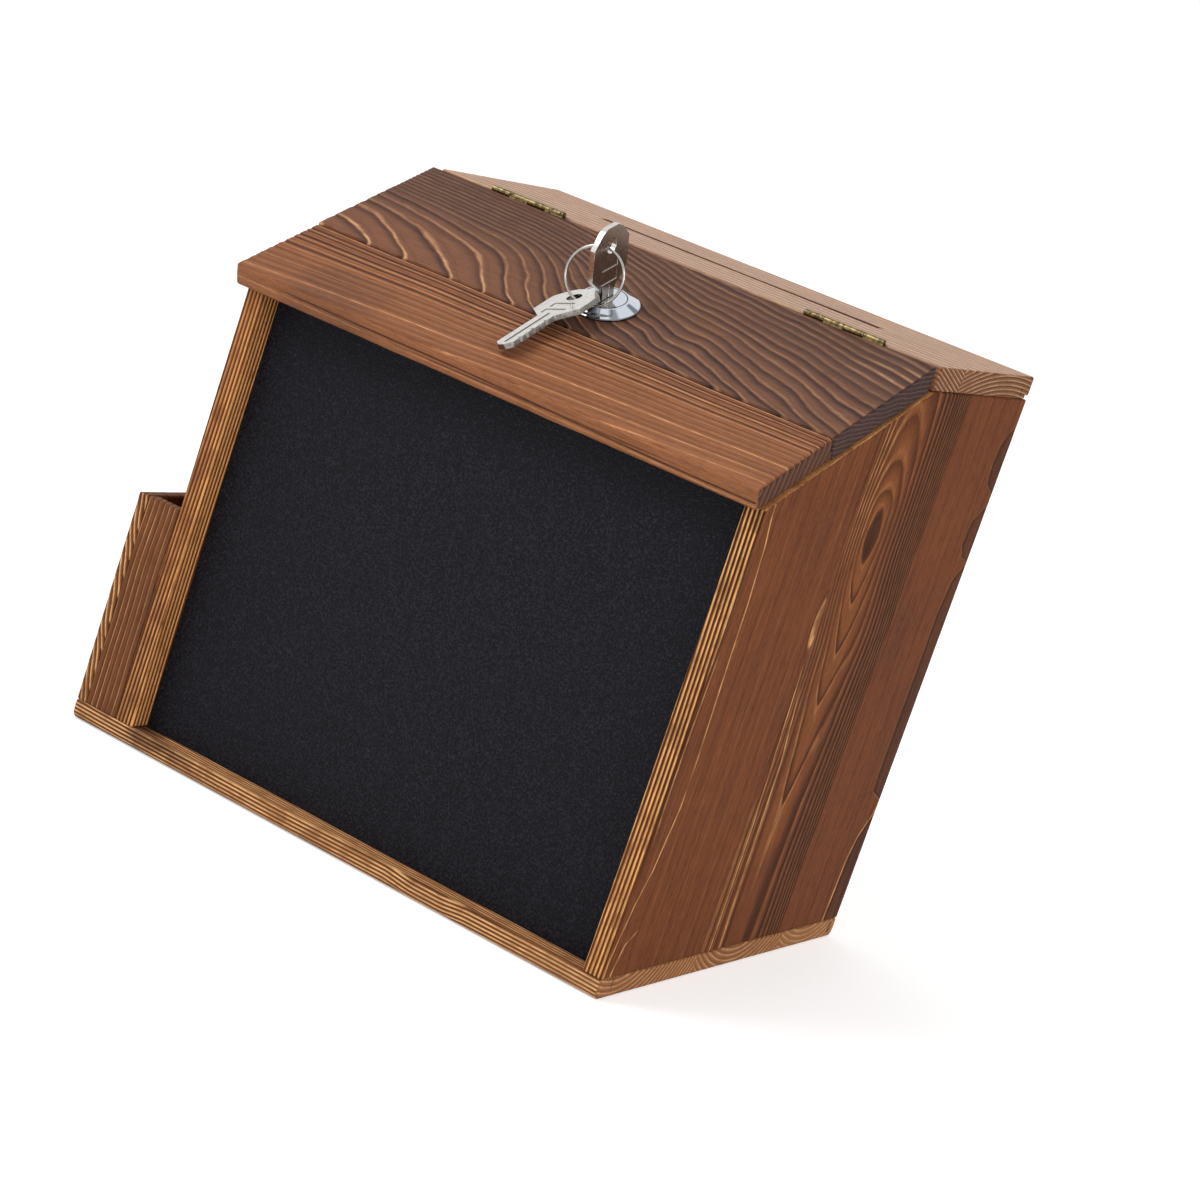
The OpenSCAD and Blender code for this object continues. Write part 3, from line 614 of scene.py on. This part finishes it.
def new_material(name):
    mat = bpy.data.materials.new(name)
    mat.use_nodes = True
    tree = mat.node_tree
    return mat, tree, tree.nodes["Principled BSDF"]


def part_place(tree):
    """The place on the part, in millimetres, as three numbers."""
    where = tree.nodes.new("ShaderNodeTexCoord")
    split = tree.nodes.new("ShaderNodeSeparateXYZ")
    tree.links.new(where.outputs["Object"], split.inputs[0])
    return [Num(o) * 1000.0 for o in split.outputs]


def vector(a, b, c):
    tree = next(t for t in (a, b, c) if isinstance(t, Num)).socket.id_data
    node = tree.nodes.new("ShaderNodeCombineXYZ")
    for socket, value in zip(node.inputs, (a, b, c)):
        feed(socket, value)
    return Num(node.outputs[0])


def noise(place, scale, detail=2.0, rough=0.5, warp=0.0):
    node = place.socket.id_data.nodes.new("ShaderNodeTexNoise")
    feed(node.inputs["Vector"], place)
    node.inputs["Scale"].default_value = scale
    node.inputs["Detail"].default_value = detail
    node.inputs["Roughness"].default_value = rough
    node.inputs["Distortion"].default_value = warp
    return Num(node.outputs["Fac"])


def tint(tree, a, b, share):
    """Colour a mixed with colour b by a share."""
    node = tree.nodes.new("ShaderNodeMix")
    node.data_type = "RGBA"
    node.clamp_factor = True
    feed(node.inputs[0], share)
    feed(node.inputs[6], a)
    feed(node.inputs[7], b)
    return Num(node.outputs[2])


def bump(tree, height, depth):
    """Normals of a relief that is depth mm deep for a height of 1."""
    node = tree.nodes.new("ShaderNodeBump")
    node.inputs["Strength"].default_value = 1.0
    node.inputs["Distance"].default_value = depth * MM
    feed(node.inputs["Height"], height)
    return Num(node.outputs["Normal"])


def wood(name, place, figure, mid, dark, pale, burnt, warm, grain, fibre, gloss=0.02):
    """Brushed, flamed pine: a figure's lines, fibres along the grain, pores and burn."""
    mat, tree, shader = new_material(name)
    x, y, z = part_place(tree)
    u, v, w = place(x, y, z)
    light, deep, tone = figure(u, v, w)
    # Streaks, specks, hairs and pores are drawn out along the grain; clouds and patches aren't
    long, cross_1, cross_2 = (x, y, z) if grain == "x" else (z, x, y)
    streak = noise(vector(long * 0.035, cross_1, cross_2), 1.7, 4.0, 0.65) - 0.5
    broad = noise(vector(long * 0.02, cross_1 * 0.2, cross_2 * 0.2), 1.6, 3.0, 0.55, 0.4) - 0.5
    cloud = noise(vector(x, y, z), 0.035, 3.0, 0.6) - 0.5
    speck = noise(vector(long * 0.12, cross_1, cross_2), 3.6, 2.0, 0.5) - 0.5
    hair = noise(vector(long * 0.09, cross_1, cross_2), 2.6, 3.0, 0.7) - 0.5
    pore = step(noise(vector(long * 0.07, cross_1, cross_2), 5.2, 1.0, 0.5), 0.66, 0.74)
    patchy = step(noise(vector(x, y, z), 0.16, 2.0, 0.5), 0.32, 0.60)
    burn = step(tone + broad * 0.55 + cloud * 0.7, 0.0, 1.0, "LINEAR")
    fade = step(-(tone + broad * 0.5 + cloud * 0.5), 0.0, 1.0, "LINEAR")
    colour = tint(tree, shade(*mid), shade(*burnt), burn * 0.9)
    colour = tint(tree, colour, shade(*warm), fade * 0.9)
    colour = tint(tree, colour, shade(*dark), deep * (0.85 + streak * 1.6))
    colour = tint(tree, colour, shade(*pale), light * (0.45 + 0.5 * patchy + streak * 0.9))
    fibres = tree.nodes.new("ShaderNodeHueSaturation")
    feed(fibres.inputs["Color"], colour)
    feed(fibres.inputs["Value"], 1 + (streak * 6 + hair * 5 + speck * 2) * fibre)
    colour = tint(tree, Num(fibres.outputs[0]), shade(*dark), pore * 0.35)
    feed(shader.inputs["Base Color"], colour)
    feed(shader.inputs["Specular IOR Level"], gloss(u, v, w) if callable(gloss) else gloss)
    feed(shader.inputs["Roughness"], 0.5 + streak * 0.25 + deep * 0.12)
    height = light * 0.5 - deep * 0.4 + streak * 1.1 + hair * 0.9 + speck * 0.3 - pore * 0.3
    feed(shader.inputs["Normal"], bump(tree, height, 0.18))
    return mat


def metal(name, colour, worn, rough, scratch, grain, patina):
    """Metal with worn patches and fine scratches, scratch mm deep."""
    mat, tree, shader = new_material(name)
    place = vector(*part_place(tree))
    spots = noise(place, 0.55 * grain, 5.0, 0.62)
    fine = noise(place, 6.0 * grain, 3.0, 0.6)
    share = step(spots, 0.38, 0.72)
    feed(shader.inputs["Base Color"], tint(tree, shade(*colour), shade(*worn), share * patina))
    shader.inputs["Metallic"].default_value = 1.0
    feed(shader.inputs["Roughness"], rough + share * 0.12 + (fine - 0.5) * 0.1)
    feed(shader.inputs["Normal"], bump(tree, fine + spots, scratch))
    return mat


def chalkboard_black():
    """Black paint with a pebbled skin."""
    mat, tree, shader = new_material("chalkboard_black")
    place = vector(*part_place(tree))
    grit = noise(place, 1.5, 2.0, 0.6)
    fine = noise(place, 3.4, 2.0, 0.5) - 0.5
    pebble = step(grit + fine * 0.5, 0.40, 0.72)
    feed(shader.inputs["Base Color"], tint(tree, shade(14, 14, 19), shade(46, 46, 54), pebble))
    shader.inputs["Specular IOR Level"].default_value = 0.10
    feed(shader.inputs["Roughness"], 0.42 + fine * 0.2)
    feed(shader.inputs["Normal"], bump(tree, pebble + fine * 0.4, 0.25))
    return mat


# Painted reflections, as dark fans on the lock's cone: (direction in degrees, half width in degrees,
# strength)
REFLECTION_FANS = [(9, 10, 0.75), (-38, 11, 0.6), (-82, 16, 0.5), (62, 9, 0.45), (118, 12, 0.55), (165, 14, 0.5),
        (-140, 12, 0.6)]


def paint_lock_reflections_and_shade(mat, middle, rim, circle):
    """Painted reflections and shade on the lock: dark fans on the cone are painted reflections, and a
    dark rim at the flange's edge and a dark circle round the turning face are painted shade.
    """
    tree = mat.node_tree
    shader = tree.nodes["Principled BSDF"]
    x, y, z = part_place(tree)
    across = x - middle[0]
    up = (y - middle[1]) * math.cos(SLOPE) + (z - middle[2]) * math.sin(SLOPE)
    far = root(across * across + up * up) + 0.01
    reflection_fans = 0.0
    for turn, half, strength in REFLECTION_FANS:
        turn, half = math.radians(turn), math.radians(half)
        along = (across * math.cos(turn) + up * math.sin(turn)) / far
        reflection_fans = most(reflection_fans, step(along, math.cos(half), math.cos(half * 0.35)) * strength)
    reflection_fans = reflection_fans * step(far, circle + 0.6, circle + 1.1)
    # Painted shade on the rim and round the face, on top of the painted reflections
    dark = most(most(reflection_fans, step(far, rim - 0.35, rim - 0.15) * 0.8), line(far - circle, 0.3) * 0.9)
    plain_colour = Num(shader.inputs["Base Color"].links[0].from_socket)
    feed(shader.inputs["Base Color"], tint(tree, plain_colour, shade(52, 54, 60), dark))


# Meshes
def new_object(name, data):
    obj = bpy.data.objects.new(name, data)
    bpy.context.scene.collection.objects.link(obj)
    return obj


def lattice(lengths, steps, radius):
    """A block from (0, 0, 0) with rounded edges, as a lattice over its six faces.

    Gives the inner point that each vertex is pushed out from, the direction of the
    push, and the faces."""
    lines = []
    for length, gap in zip(lengths, steps):
        n = max(3, round((length - 2 * radius) / gap))
        flat = np.linspace(radius, length - radius, n + 1)
        arc = radius * (1 - np.tan(np.radians([45.0, 30.0, 15.0])))
        lines.append(np.concatenate([arc * [0, 1, 1], flat, length - (arc * [0, 1, 1])[::-1]]))
    points, faces, count = [], [], 0
    for axis in range(3):
        a, b = [i for i in range(3) if i != axis]
        at_a, at_b = np.meshgrid(lines[a], lines[b], indexing="ij")
        for end in (0, 1):
            grid = np.zeros(at_a.shape + (3,))
            grid[..., a], grid[..., b] = at_a, at_b
            grid[..., axis] = lengths[axis] * end
            index = count + np.arange(at_a.size).reshape(at_a.shape)
            quads = np.stack([index[:-1, :-1], index[1:, :-1], index[1:, 1:], index[:-1, 1:]], -1)
            quads = quads.reshape(-1, 4)
            if (end == 1) != (axis != 1):
                quads = quads[:, ::-1]
            points.append(grid.reshape(-1, 3))
            faces.append(quads)
            count += at_a.size
    points, faces = np.concatenate(points), np.concatenate(faces)
    _, first, same = np.unique(np.round(points, 4), axis=0, return_index=True, return_inverse=True)
    points, faces = points[first], same.reshape(-1)[faces]
    inner = np.clip(points, radius, np.array(lengths) - radius)
    push = points - inner
    push /= np.linalg.norm(push, axis=1)[:, None]
    return inner, push, faces


def settle(obj, body, node):
    """The object rides on a body, in place of a CAD node."""
    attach(obj, body)
    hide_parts(node)


def copy_of(node, name):
    """The CAD node's solid, with its points welded."""
    mesh = frame["nodes"][node].data.copy()
    mesh.name = name
    work = bmesh.new()
    work.from_mesh(mesh)
    bmesh.ops.remove_doubles(work, verts=work.verts, dist=1e-6)
    work.to_mesh(mesh)
    work.free()
    mesh.materials.clear()
    return new_object(name, mesh)


def apply(obj):
    """Bake an object's modifiers into its mesh."""
    graph = bpy.context.evaluated_depsgraph_get()
    graph.update()
    mesh = bpy.data.meshes.new_from_object(obj.evaluated_get(graph))
    old = obj.data
    obj.modifiers.clear()
    obj.data = mesh
    bpy.data.meshes.remove(old)


def smooth(obj, degrees):
    """Smooth shading, with the edges that turn further kept sharp."""
    mesh = obj.data
    mesh.shade_smooth()
    work = bmesh.new()
    work.from_mesh(mesh)
    limit = math.radians(degrees)
    for edge in work.edges:
        edge.smooth = len(edge.link_faces) == 2 and edge.calc_face_angle(0.0) < limit
    work.to_mesh(mesh)
    work.free()


# Depth in mm by which every board stays inside its CAD faces
SKIN = 0.03


def board(name, node, body, lengths, steps, shape, place, figure, material,
          radius=0.6, relief=0.10, worn=0.25, notch=0.0):
    """A wooden board: a lattice block, its figure brushed into it and its edges worn,
    cut by the CAD solid's own seats and holes. Steps are the lattice's gaps in mm.
    Relief, worn and notch are depths in mm, and a notch follows the dark lines at the
    board's left end."""
    inner, push, faces = lattice(lengths, steps, radius)
    x, y, z = shape(*(inner + push * radius).T)
    light, deep, _ = figure(*place(x, y, z))
    edge = 1 - np.max(np.abs(push), axis=1)
    ragged = sway(x + z * 0.7, y + z * 0.4, 13.0) * 0.5 + sway(x - z, y * 1.1, 4.1, 1.0) * 0.35 + 0.8
    depth = SKIN + relief * np.clip(0.45 + 0.5 * deep - 0.45 * light, 0.0, 1.0)
    depth = depth + notch * deep * (1 - step(x - x.min(), 0.0, 2.0))
    depth = depth + worn * np.clip(edge / 0.3, 0.0, 1.0) * np.clip(ragged, 0.0, 1.6)
    points = np.stack(shape(*(inner + push * (radius - depth[:, None])).T), -1)
    mesh = bpy.data.meshes.new(name)
    mesh.from_pydata((points * MM).tolist(), [], faces.tolist())
    mesh.update()
    obj = new_object(name, mesh)
    cutter = copy_of(node, "cutter")
    cut = obj.modifiers.new("cut", "BOOLEAN")
    cut.operation = "INTERSECT"
    cut.solver = "MANIFOLD"
    cut.object = cutter
    apply(obj)
    bpy.data.objects.remove(cutter)
    obj.data.materials.clear()
    obj.data.materials.append(material)
    smooth(obj, 40.0)
    settle(obj, body, node)


def crisp(name, node, body, material, width, angle=32.0):
    """A CAD solid with the edges that turn past the angle broken by a bevel, width mm wide."""
    obj = copy_of(node, name)
    work = bmesh.new()
    work.from_mesh(obj.data)
    bmesh.ops.dissolve_limit(work, angle_limit=math.radians(0.6), verts=work.verts, edges=work.edges)
    work.to_mesh(obj.data)
    work.free()
    if width:
        bevel = obj.modifiers.new("bevel", "BEVEL")
        bevel.width = width * MM
        bevel.segments = 2
        bevel.limit_method = "ANGLE"
        bevel.angle_limit = math.radians(angle)
        bevel.use_clamp_overlap = True
        apply(obj)
    obj.data.materials.append(material)
    smooth(obj, 35.0)
    flat = obj.modifiers.new("flat", "WEIGHTED_NORMAL")
    flat.keep_sharp = True
    flat.weight = 100
    apply(obj)
    settle(obj, body, node)
    return obj


def split_plain_and_shaded(obj, flat_material, wall_material):
    """One material on a key's two flat faces, another on its cut edges. One of the two is a darker copy
    of the nickel: a painted reflection on the standing key's faces, painted shade on the spare key's
    walls.
    """
    mesh = obj.data
    points = np.array([v.co for v in mesh.vertices])
    thin = np.linalg.svd(points - points.mean(0), full_matrices=False)[2][-1]
    mesh.materials.clear()
    mesh.materials.append(flat_material)
    mesh.materials.append(wall_material)
    for face in mesh.polygons:
        face.material_index = 0 if abs(np.dot(face.normal, thin)) > 0.8 else 1


def dress(nodes, material):
    """CAD nodes that stay as they are get a material."""
    for node in nodes:
        data = frame["nodes"][node].data
        data.materials.clear()
        data.materials.append(material)


# Lid
def lid_shape(y0, y1_top, y1_low):
    """Lid boards: local x along, y up the slope, z out of the top face."""
    c, s = math.cos(SLOPE), math.sin(SLOPE)

    def shape(x, y, z):
        reach = y1_top + (y1_low - y1_top) * (1 - z / TOP)
        up = y0 + y * (reach - y0) / (y1_top - y0)
        out = z - TOP
        return x + LID_LEFT, HINGE_Y + up * c - out * s, BOX_TOP + up * s + out * c
    return shape


rear_top = -HALF_GAP / math.cos(SLOPE)
rear_low = rear_top - TOP * math.tan(SLOPE)
rear_wood = wood("flamed_pine_rear", on_lid, lid_rear, mid=(116, 78, 58), dark=(56, 42, 42),
                 pale=(204, 156, 114), burnt=(80, 62, 58), warm=(142, 92, 62),
                 grain="x", fibre=0.12, gloss=0.06)
board("lid_rear_board_wood", "lid_rear_board", "lid",
      (LID_W, SEAM + rear_top, TOP), (0.55, 0.5, 0.8),
      lid_shape(-SEAM, rear_top, rear_low), on_lid, lid_rear, rear_wood, notch=0.3)
front_wood = wood("flamed_pine_front", on_lid, lid_front, mid=(144, 93, 62), dark=(62, 38, 32),
                  pale=(214, 156, 108), burnt=(84, 58, 50), warm=(160, 104, 68),
                  grain="x", fibre=0.16, gloss=0.06)
board("lid_front_board_wood", "lid_front_board", "lid",
      (LID_W, LID_LEN - SEAM, TOP), (1.2, 0.5, 0.6),
      lid_shape(-LID_LEN, -SEAM, -SEAM), on_lid, lid_front, front_wood,
      radius=1.3, worn=0.4, notch=0.5)


# Top plank, sides and base
def block(node):
    """A straight board: its lengths, and the shape that puts a block in its place."""
    low, high = corners(node)

    def shape(x, y, z):
        return x + low[0], y + low[1], z + low[2]
    return [b - a for a, b in zip(low, high)], shape


# The warm colour that the plank's upper face fades to is partly a painted reflection of the white room
plank_wood = wood("flamed_pine_plank", on_plank, plank, mid=(138, 94, 66), dark=(70, 42, 34),
                  pale=(214, 172, 132), burnt=(80, 52, 40), warm=(176, 138, 110),
                  grain="x", fibre=0.22, gloss=plank_gloss)
lengths, shape = block("top_plank")
board("top_plank_wood", "top_plank", "box", lengths, (1.0, 0.6, 0.6),
      shape, on_plank, plank, plank_wood)


def side_shape(x0):
    """Side boards: the block's upper face follows the lid and then the plank."""
    full = PLANK_UNDER - BASE_TOP

    def shape(x, y, z):
        roof = np.minimum(FRONT_H + y * math.tan(SLOPE), PLANK_UNDER) - BASE_TOP
        return x + x0, y + FRONT, BASE_TOP + z * roof / full
    return shape


side_size = (SIDE, DEPTH, PLANK_UNDER - BASE_TOP)
right_wood = wood("flamed_pine_right", on_right, right_side, mid=(111, 62, 35), dark=(48, 30, 22),
                  pale=(220, 162, 102), burnt=(58, 38, 32), warm=(136, 80, 42), grain="z", fibre=0.27)
board("right_side_board_wood", "right_side_board", "box", side_size, (0.6, 0.4, 0.9),
      side_shape(RIGHT - SIDE), on_right, right_side, right_wood, relief=0.06)
left_wood = wood("flamed_pine_left", on_left, left_side, mid=(124, 72, 42), dark=(52, 30, 22),
                 pale=(230, 166, 102), burnt=(62, 40, 32), warm=(156, 100, 58), grain="z", fibre=0.16)
board("left_side_board_wood", "left_side_board", "box", side_size, (0.6, 0.45, 0.9),
      side_shape(BODY_LEFT), on_left, left_side, left_wood)

BASE_ROUND = 3.0


def base_shape(x, y, z):
    """Base board: the lower front and rear edges are rounded off."""
    low = np.clip(BASE_ROUND - z, 0.0, BASE_ROUND)
    inset = BASE_ROUND - np.sqrt(np.maximum(BASE_ROUND * BASE_ROUND - low * low, 0.0))
    half = DEPTH / 2
    return x + LEFT, (y - half) * (1 - inset / half), z


base_wood = wood("flamed_pine_base", on_base, base, mid=(142, 90, 56), dark=(62, 34, 26),
                 pale=(238, 186, 128), burnt=(68, 42, 34), warm=(170, 120, 80), grain="x", fibre=0.17)
board("base_board_wood", "base_board", "box", (BASE_W, DEPTH, BASE_TOP),
      (1.2, 0.7, 0.5), base_shape, on_base, base, base_wood, radius=0.5)

# Card pocket
pocket_wood = wood("flamed_pine_pocket", on_pocket, pocket_outer, mid=(112, 70, 45), dark=(52, 32, 25),
                   pale=(220, 168, 114), burnt=(62, 42, 36), warm=(160, 104, 62),
                   grain="z", fibre=0.18)
lengths, shape = block("pocket_outer_board")
board("pocket_outer_board_wood", "pocket_outer_board", "box", lengths, (0.5, 0.8, 1.0),
      shape, on_pocket, pocket_outer, pocket_wood)
pocket_end_wood = wood("flamed_pine_pocket_end", on_pocket_end, pocket_end, mid=(112, 70, 45),
                       dark=(50, 33, 27), pale=(216, 164, 112), burnt=(62, 44, 38),
                       warm=(146, 92, 56), grain="z", fibre=0.18)
for end in ("front", "back"):
    lengths, shape = block(f"pocket_{end}_board")
    board(f"pocket_{end}_board_wood", f"pocket_{end}_board", "box", lengths, (0.5, 0.7, 1.0),
          shape, on_pocket_end, pocket_end, pocket_end_wood)

# Plain wood inside
RAW = {"mid": (206, 172, 128), "dark": (168, 124, 82), "pale": (224, 196, 156),
       "burnt": (170, 130, 90), "warm": (222, 192, 150)}
rail_wood = wood("plain_pine_rail", lambda x, y, z: (x, y, z), plain, **RAW, grain="x", fibre=0.08)
strip_wood = wood("plain_pine_strip", lambda x, y, z: (z, x, y), plain, **RAW, grain="z", fibre=0.08)
plywood = wood("plywood_back", lambda x, y, z: (z, x * 0.35, y), plain, mid=(196, 158, 116),
               dark=(158, 116, 80), pale=(216, 184, 144), burnt=(150, 110, 76), warm=(210, 176, 136),
               grain="z", fibre=0.09)
dress(["strike_rail"], rail_wood)
dress(["left_cleat", "right_cleat"], strip_wood)
dress(["back_panel"], plywood)

# Chalkboard, lock, keys and hinges
chrome = metal("polished_chrome", (206, 212, 220), worn=(190, 194, 202), rough=0.05, scratch=0.0015,
               grain=1.0, patina=0.12)
nickel = metal("nickelled_keys", (214, 211, 206), worn=(172, 168, 162), rough=0.14, scratch=0.003,
               grain=1.4, patina=0.35)
# A darker copy of the key nickel with heavy dark patches: painted shade on the spare key's cut edges
nickel_painted_shade = metal("nickelled_key_walls", (146, 143, 138), worn=(96, 92, 86), rough=0.20,
                    scratch=0.004, grain=1.2, patina=0.7)
# A darker, browner copy of the key nickel: a painted reflection of the dark wood on the standing key's
# flat faces
nickel_painted_reflection = metal("nickelled_key_faces", (154, 145, 136), worn=(118, 108, 100), rough=0.22,
                    scratch=0.004, grain=1.0, patina=0.5)
nickel_wire = metal("nickelled_wire", (178, 175, 170), worn=(130, 126, 120), rough=0.16,
                    scratch=0.003, grain=1.2, patina=0.5)
brass = metal("aged_brass", (136, 118, 80), worn=(44, 38, 26), rough=0.30, scratch=0.03,
              grain=1.1, patina=0.95)
zinc = metal("zinc_steel", (176, 180, 182), worn=(130, 134, 138), rough=0.34, scratch=0.02,
             grain=1.0, patina=0.4)
# Painted reflections and painted shade on the lock's chrome
paint_lock_reflections_and_shade(chrome, LOCK, FLANGE_D / 2, FACE_D / 2)

crisp("chalkboard_panel_face", "chalkboard_panel", "box", chalkboard_black(), width=0.3)
crisp("lock_housing_chrome", "lock_housing", "lid", chrome, width=0.18, angle=25.0)
crisp("lock_plug_chrome", "lock_plug", "plug", chrome, width=0.12)
key = crisp("key_nickel", "key", "key", nickel, width=0.14)
# The standing key's flat faces get the painted dark reflection
split_plain_and_shaded(key, nickel_painted_reflection, nickel)
spare_key = crisp("spare_key_nickel", "spare_key", "spare", nickel, width=0.14)
# The spare key's cut edges get the painted shade
split_plain_and_shaded(spare_key, nickel, nickel_painted_shade)
crisp("key_ring_nickel", "key_ring", "ring", nickel_wire, width=0.0)
for side in ("left", "right"):
    for piece, body in (("plank_leaf", "box"), ("lid_leaf", "lid"), ("pin", "box")):
        node = f"{side}_hinge_{piece}"
        crisp(f"{node}_brass", node, body, brass, width=0.12)
dress(["plank_hinge_screws", "lid_hinge_screws", "wafer_tumblers"], brass)
dress(["base_nails", "back_panel_nails", "lock_washer", "lock_nut", "lock_cam", "cam_screw"], zinc)


# Floor, light and camera
def seen_plainly(tree):
    """1 where the camera, metal or glass sees a surface, 0 where it lights the object."""
    path = tree.nodes.new("ShaderNodeLightPath")
    camera_ray, glossy_ray, glass_ray = (Num(path.outputs[f"Is {kind} Ray"])
                                         for kind in ("Camera", "Glossy", "Transmission"))
    return most(most(camera_ray, glossy_ray), glass_ray)


def white_floor(reach_m, cells):
    """A square white floor that keeps the object's shadow."""
    mesh = bpy.data.meshes.new("floor")
    grid = np.linspace(-reach_m, reach_m, cells + 1)
    points = [(a, b, 0.0) for b in grid for a in grid]
    row = cells + 1
    starts = [r * row + c for r in range(cells) for c in range(cells)]
    mesh.from_pydata(points, [], [(n, n + 1, n + row + 1, n + row) for n in starts])
    mat, tree, shader = new_material("floor_white")
    shader.inputs["Base Color"].default_value = (0.9, 0.9, 0.9, 1.0)
    shader.inputs["Roughness"].default_value = 0.9
    shader.inputs["Emission Color"].default_value = (1.0, 1.0, 1.0, 1.0)
    feed(shader.inputs["Emission Strength"], seen_plainly(tree) * 0.34)
    mesh.materials.append(mat)
    new_object("floor", mesh)


def white_world(light, seen):
    """A white room that lights the object at one strength and is seen at another."""
    world = bpy.data.worlds.new("studio")
    bpy.context.scene.world = world
    world.use_nodes = True
    tree = world.node_tree
    sky = tree.nodes["Background"]
    sky.inputs["Color"].default_value = (1.0, 1.0, 1.0, 1.0)
    feed(sky.inputs["Strength"], light + seen_plainly(tree) * (seen - light))


def lamp(name, place, power_w):
    """A soft lamp of 1 m by 0.8 m that faces the middle of the box."""
    data = bpy.data.lights.new(name, "AREA")
    data.shape = "RECTANGLE"
    data.size = 1.0
    data.size_y = 0.8
    data.energy = power_w
    aim = Vector((0.0, 0.0, BOX_TOP / 2 * MM))
    obj = new_object(name, data)
    obj.location = place
    obj.rotation_euler = (aim - Vector(place)).to_track_quat("-Z", "Y").to_euler()


# Camera fitted to the photograph: the turn, in radians about an axis, and the shift, in mm, that
# take a point from the base board's front left corner to the camera's right, down and forward axes
TURN = Vector((1.636496, 0.704162, -0.112196))
SHIFT = Vector((-171.1426, 37.7364, 972.7774))
FOCAL_PX, FRAME_PX, SENSOR = 3008.5313, 1200.0, 36.0


def photo_camera():
    data = bpy.data.cameras.new("camera")
    data.sensor_width = SENSOR
    data.sensor_height = SENSOR
    data.lens = FOCAL_PX / FRAME_PX * SENSOR
    data.clip_start = 0.01
    data.clip_end = 100.0
    back_turn = Matrix.Rotation(TURN.length, 3, TURN.normalized()).transposed()
    eye = back_turn @ -SHIFT + Vector((LEFT, FRONT, 0.0))
    view = back_turn @ Matrix(((1, 0, 0), (0, -1, 0), (0, 0, -1)))
    camera = new_object("camera", data)
    camera.matrix_world = Matrix.Translation(eye * MM) @ view.to_4x4()
    return camera


white_floor(reach_m=6.0, cells=24)
white_world(light=0.72, seen=1.0)
lamp("key_light", place=(-0.9, -1.1, 1.5), power_w=16.0)
lamp("fill_light", place=(1.5, -0.7, 0.9), power_w=9.0)
bpy.context.scene.camera = photo_camera()
bpy.context.scene.view_settings.view_transform = "Standard"
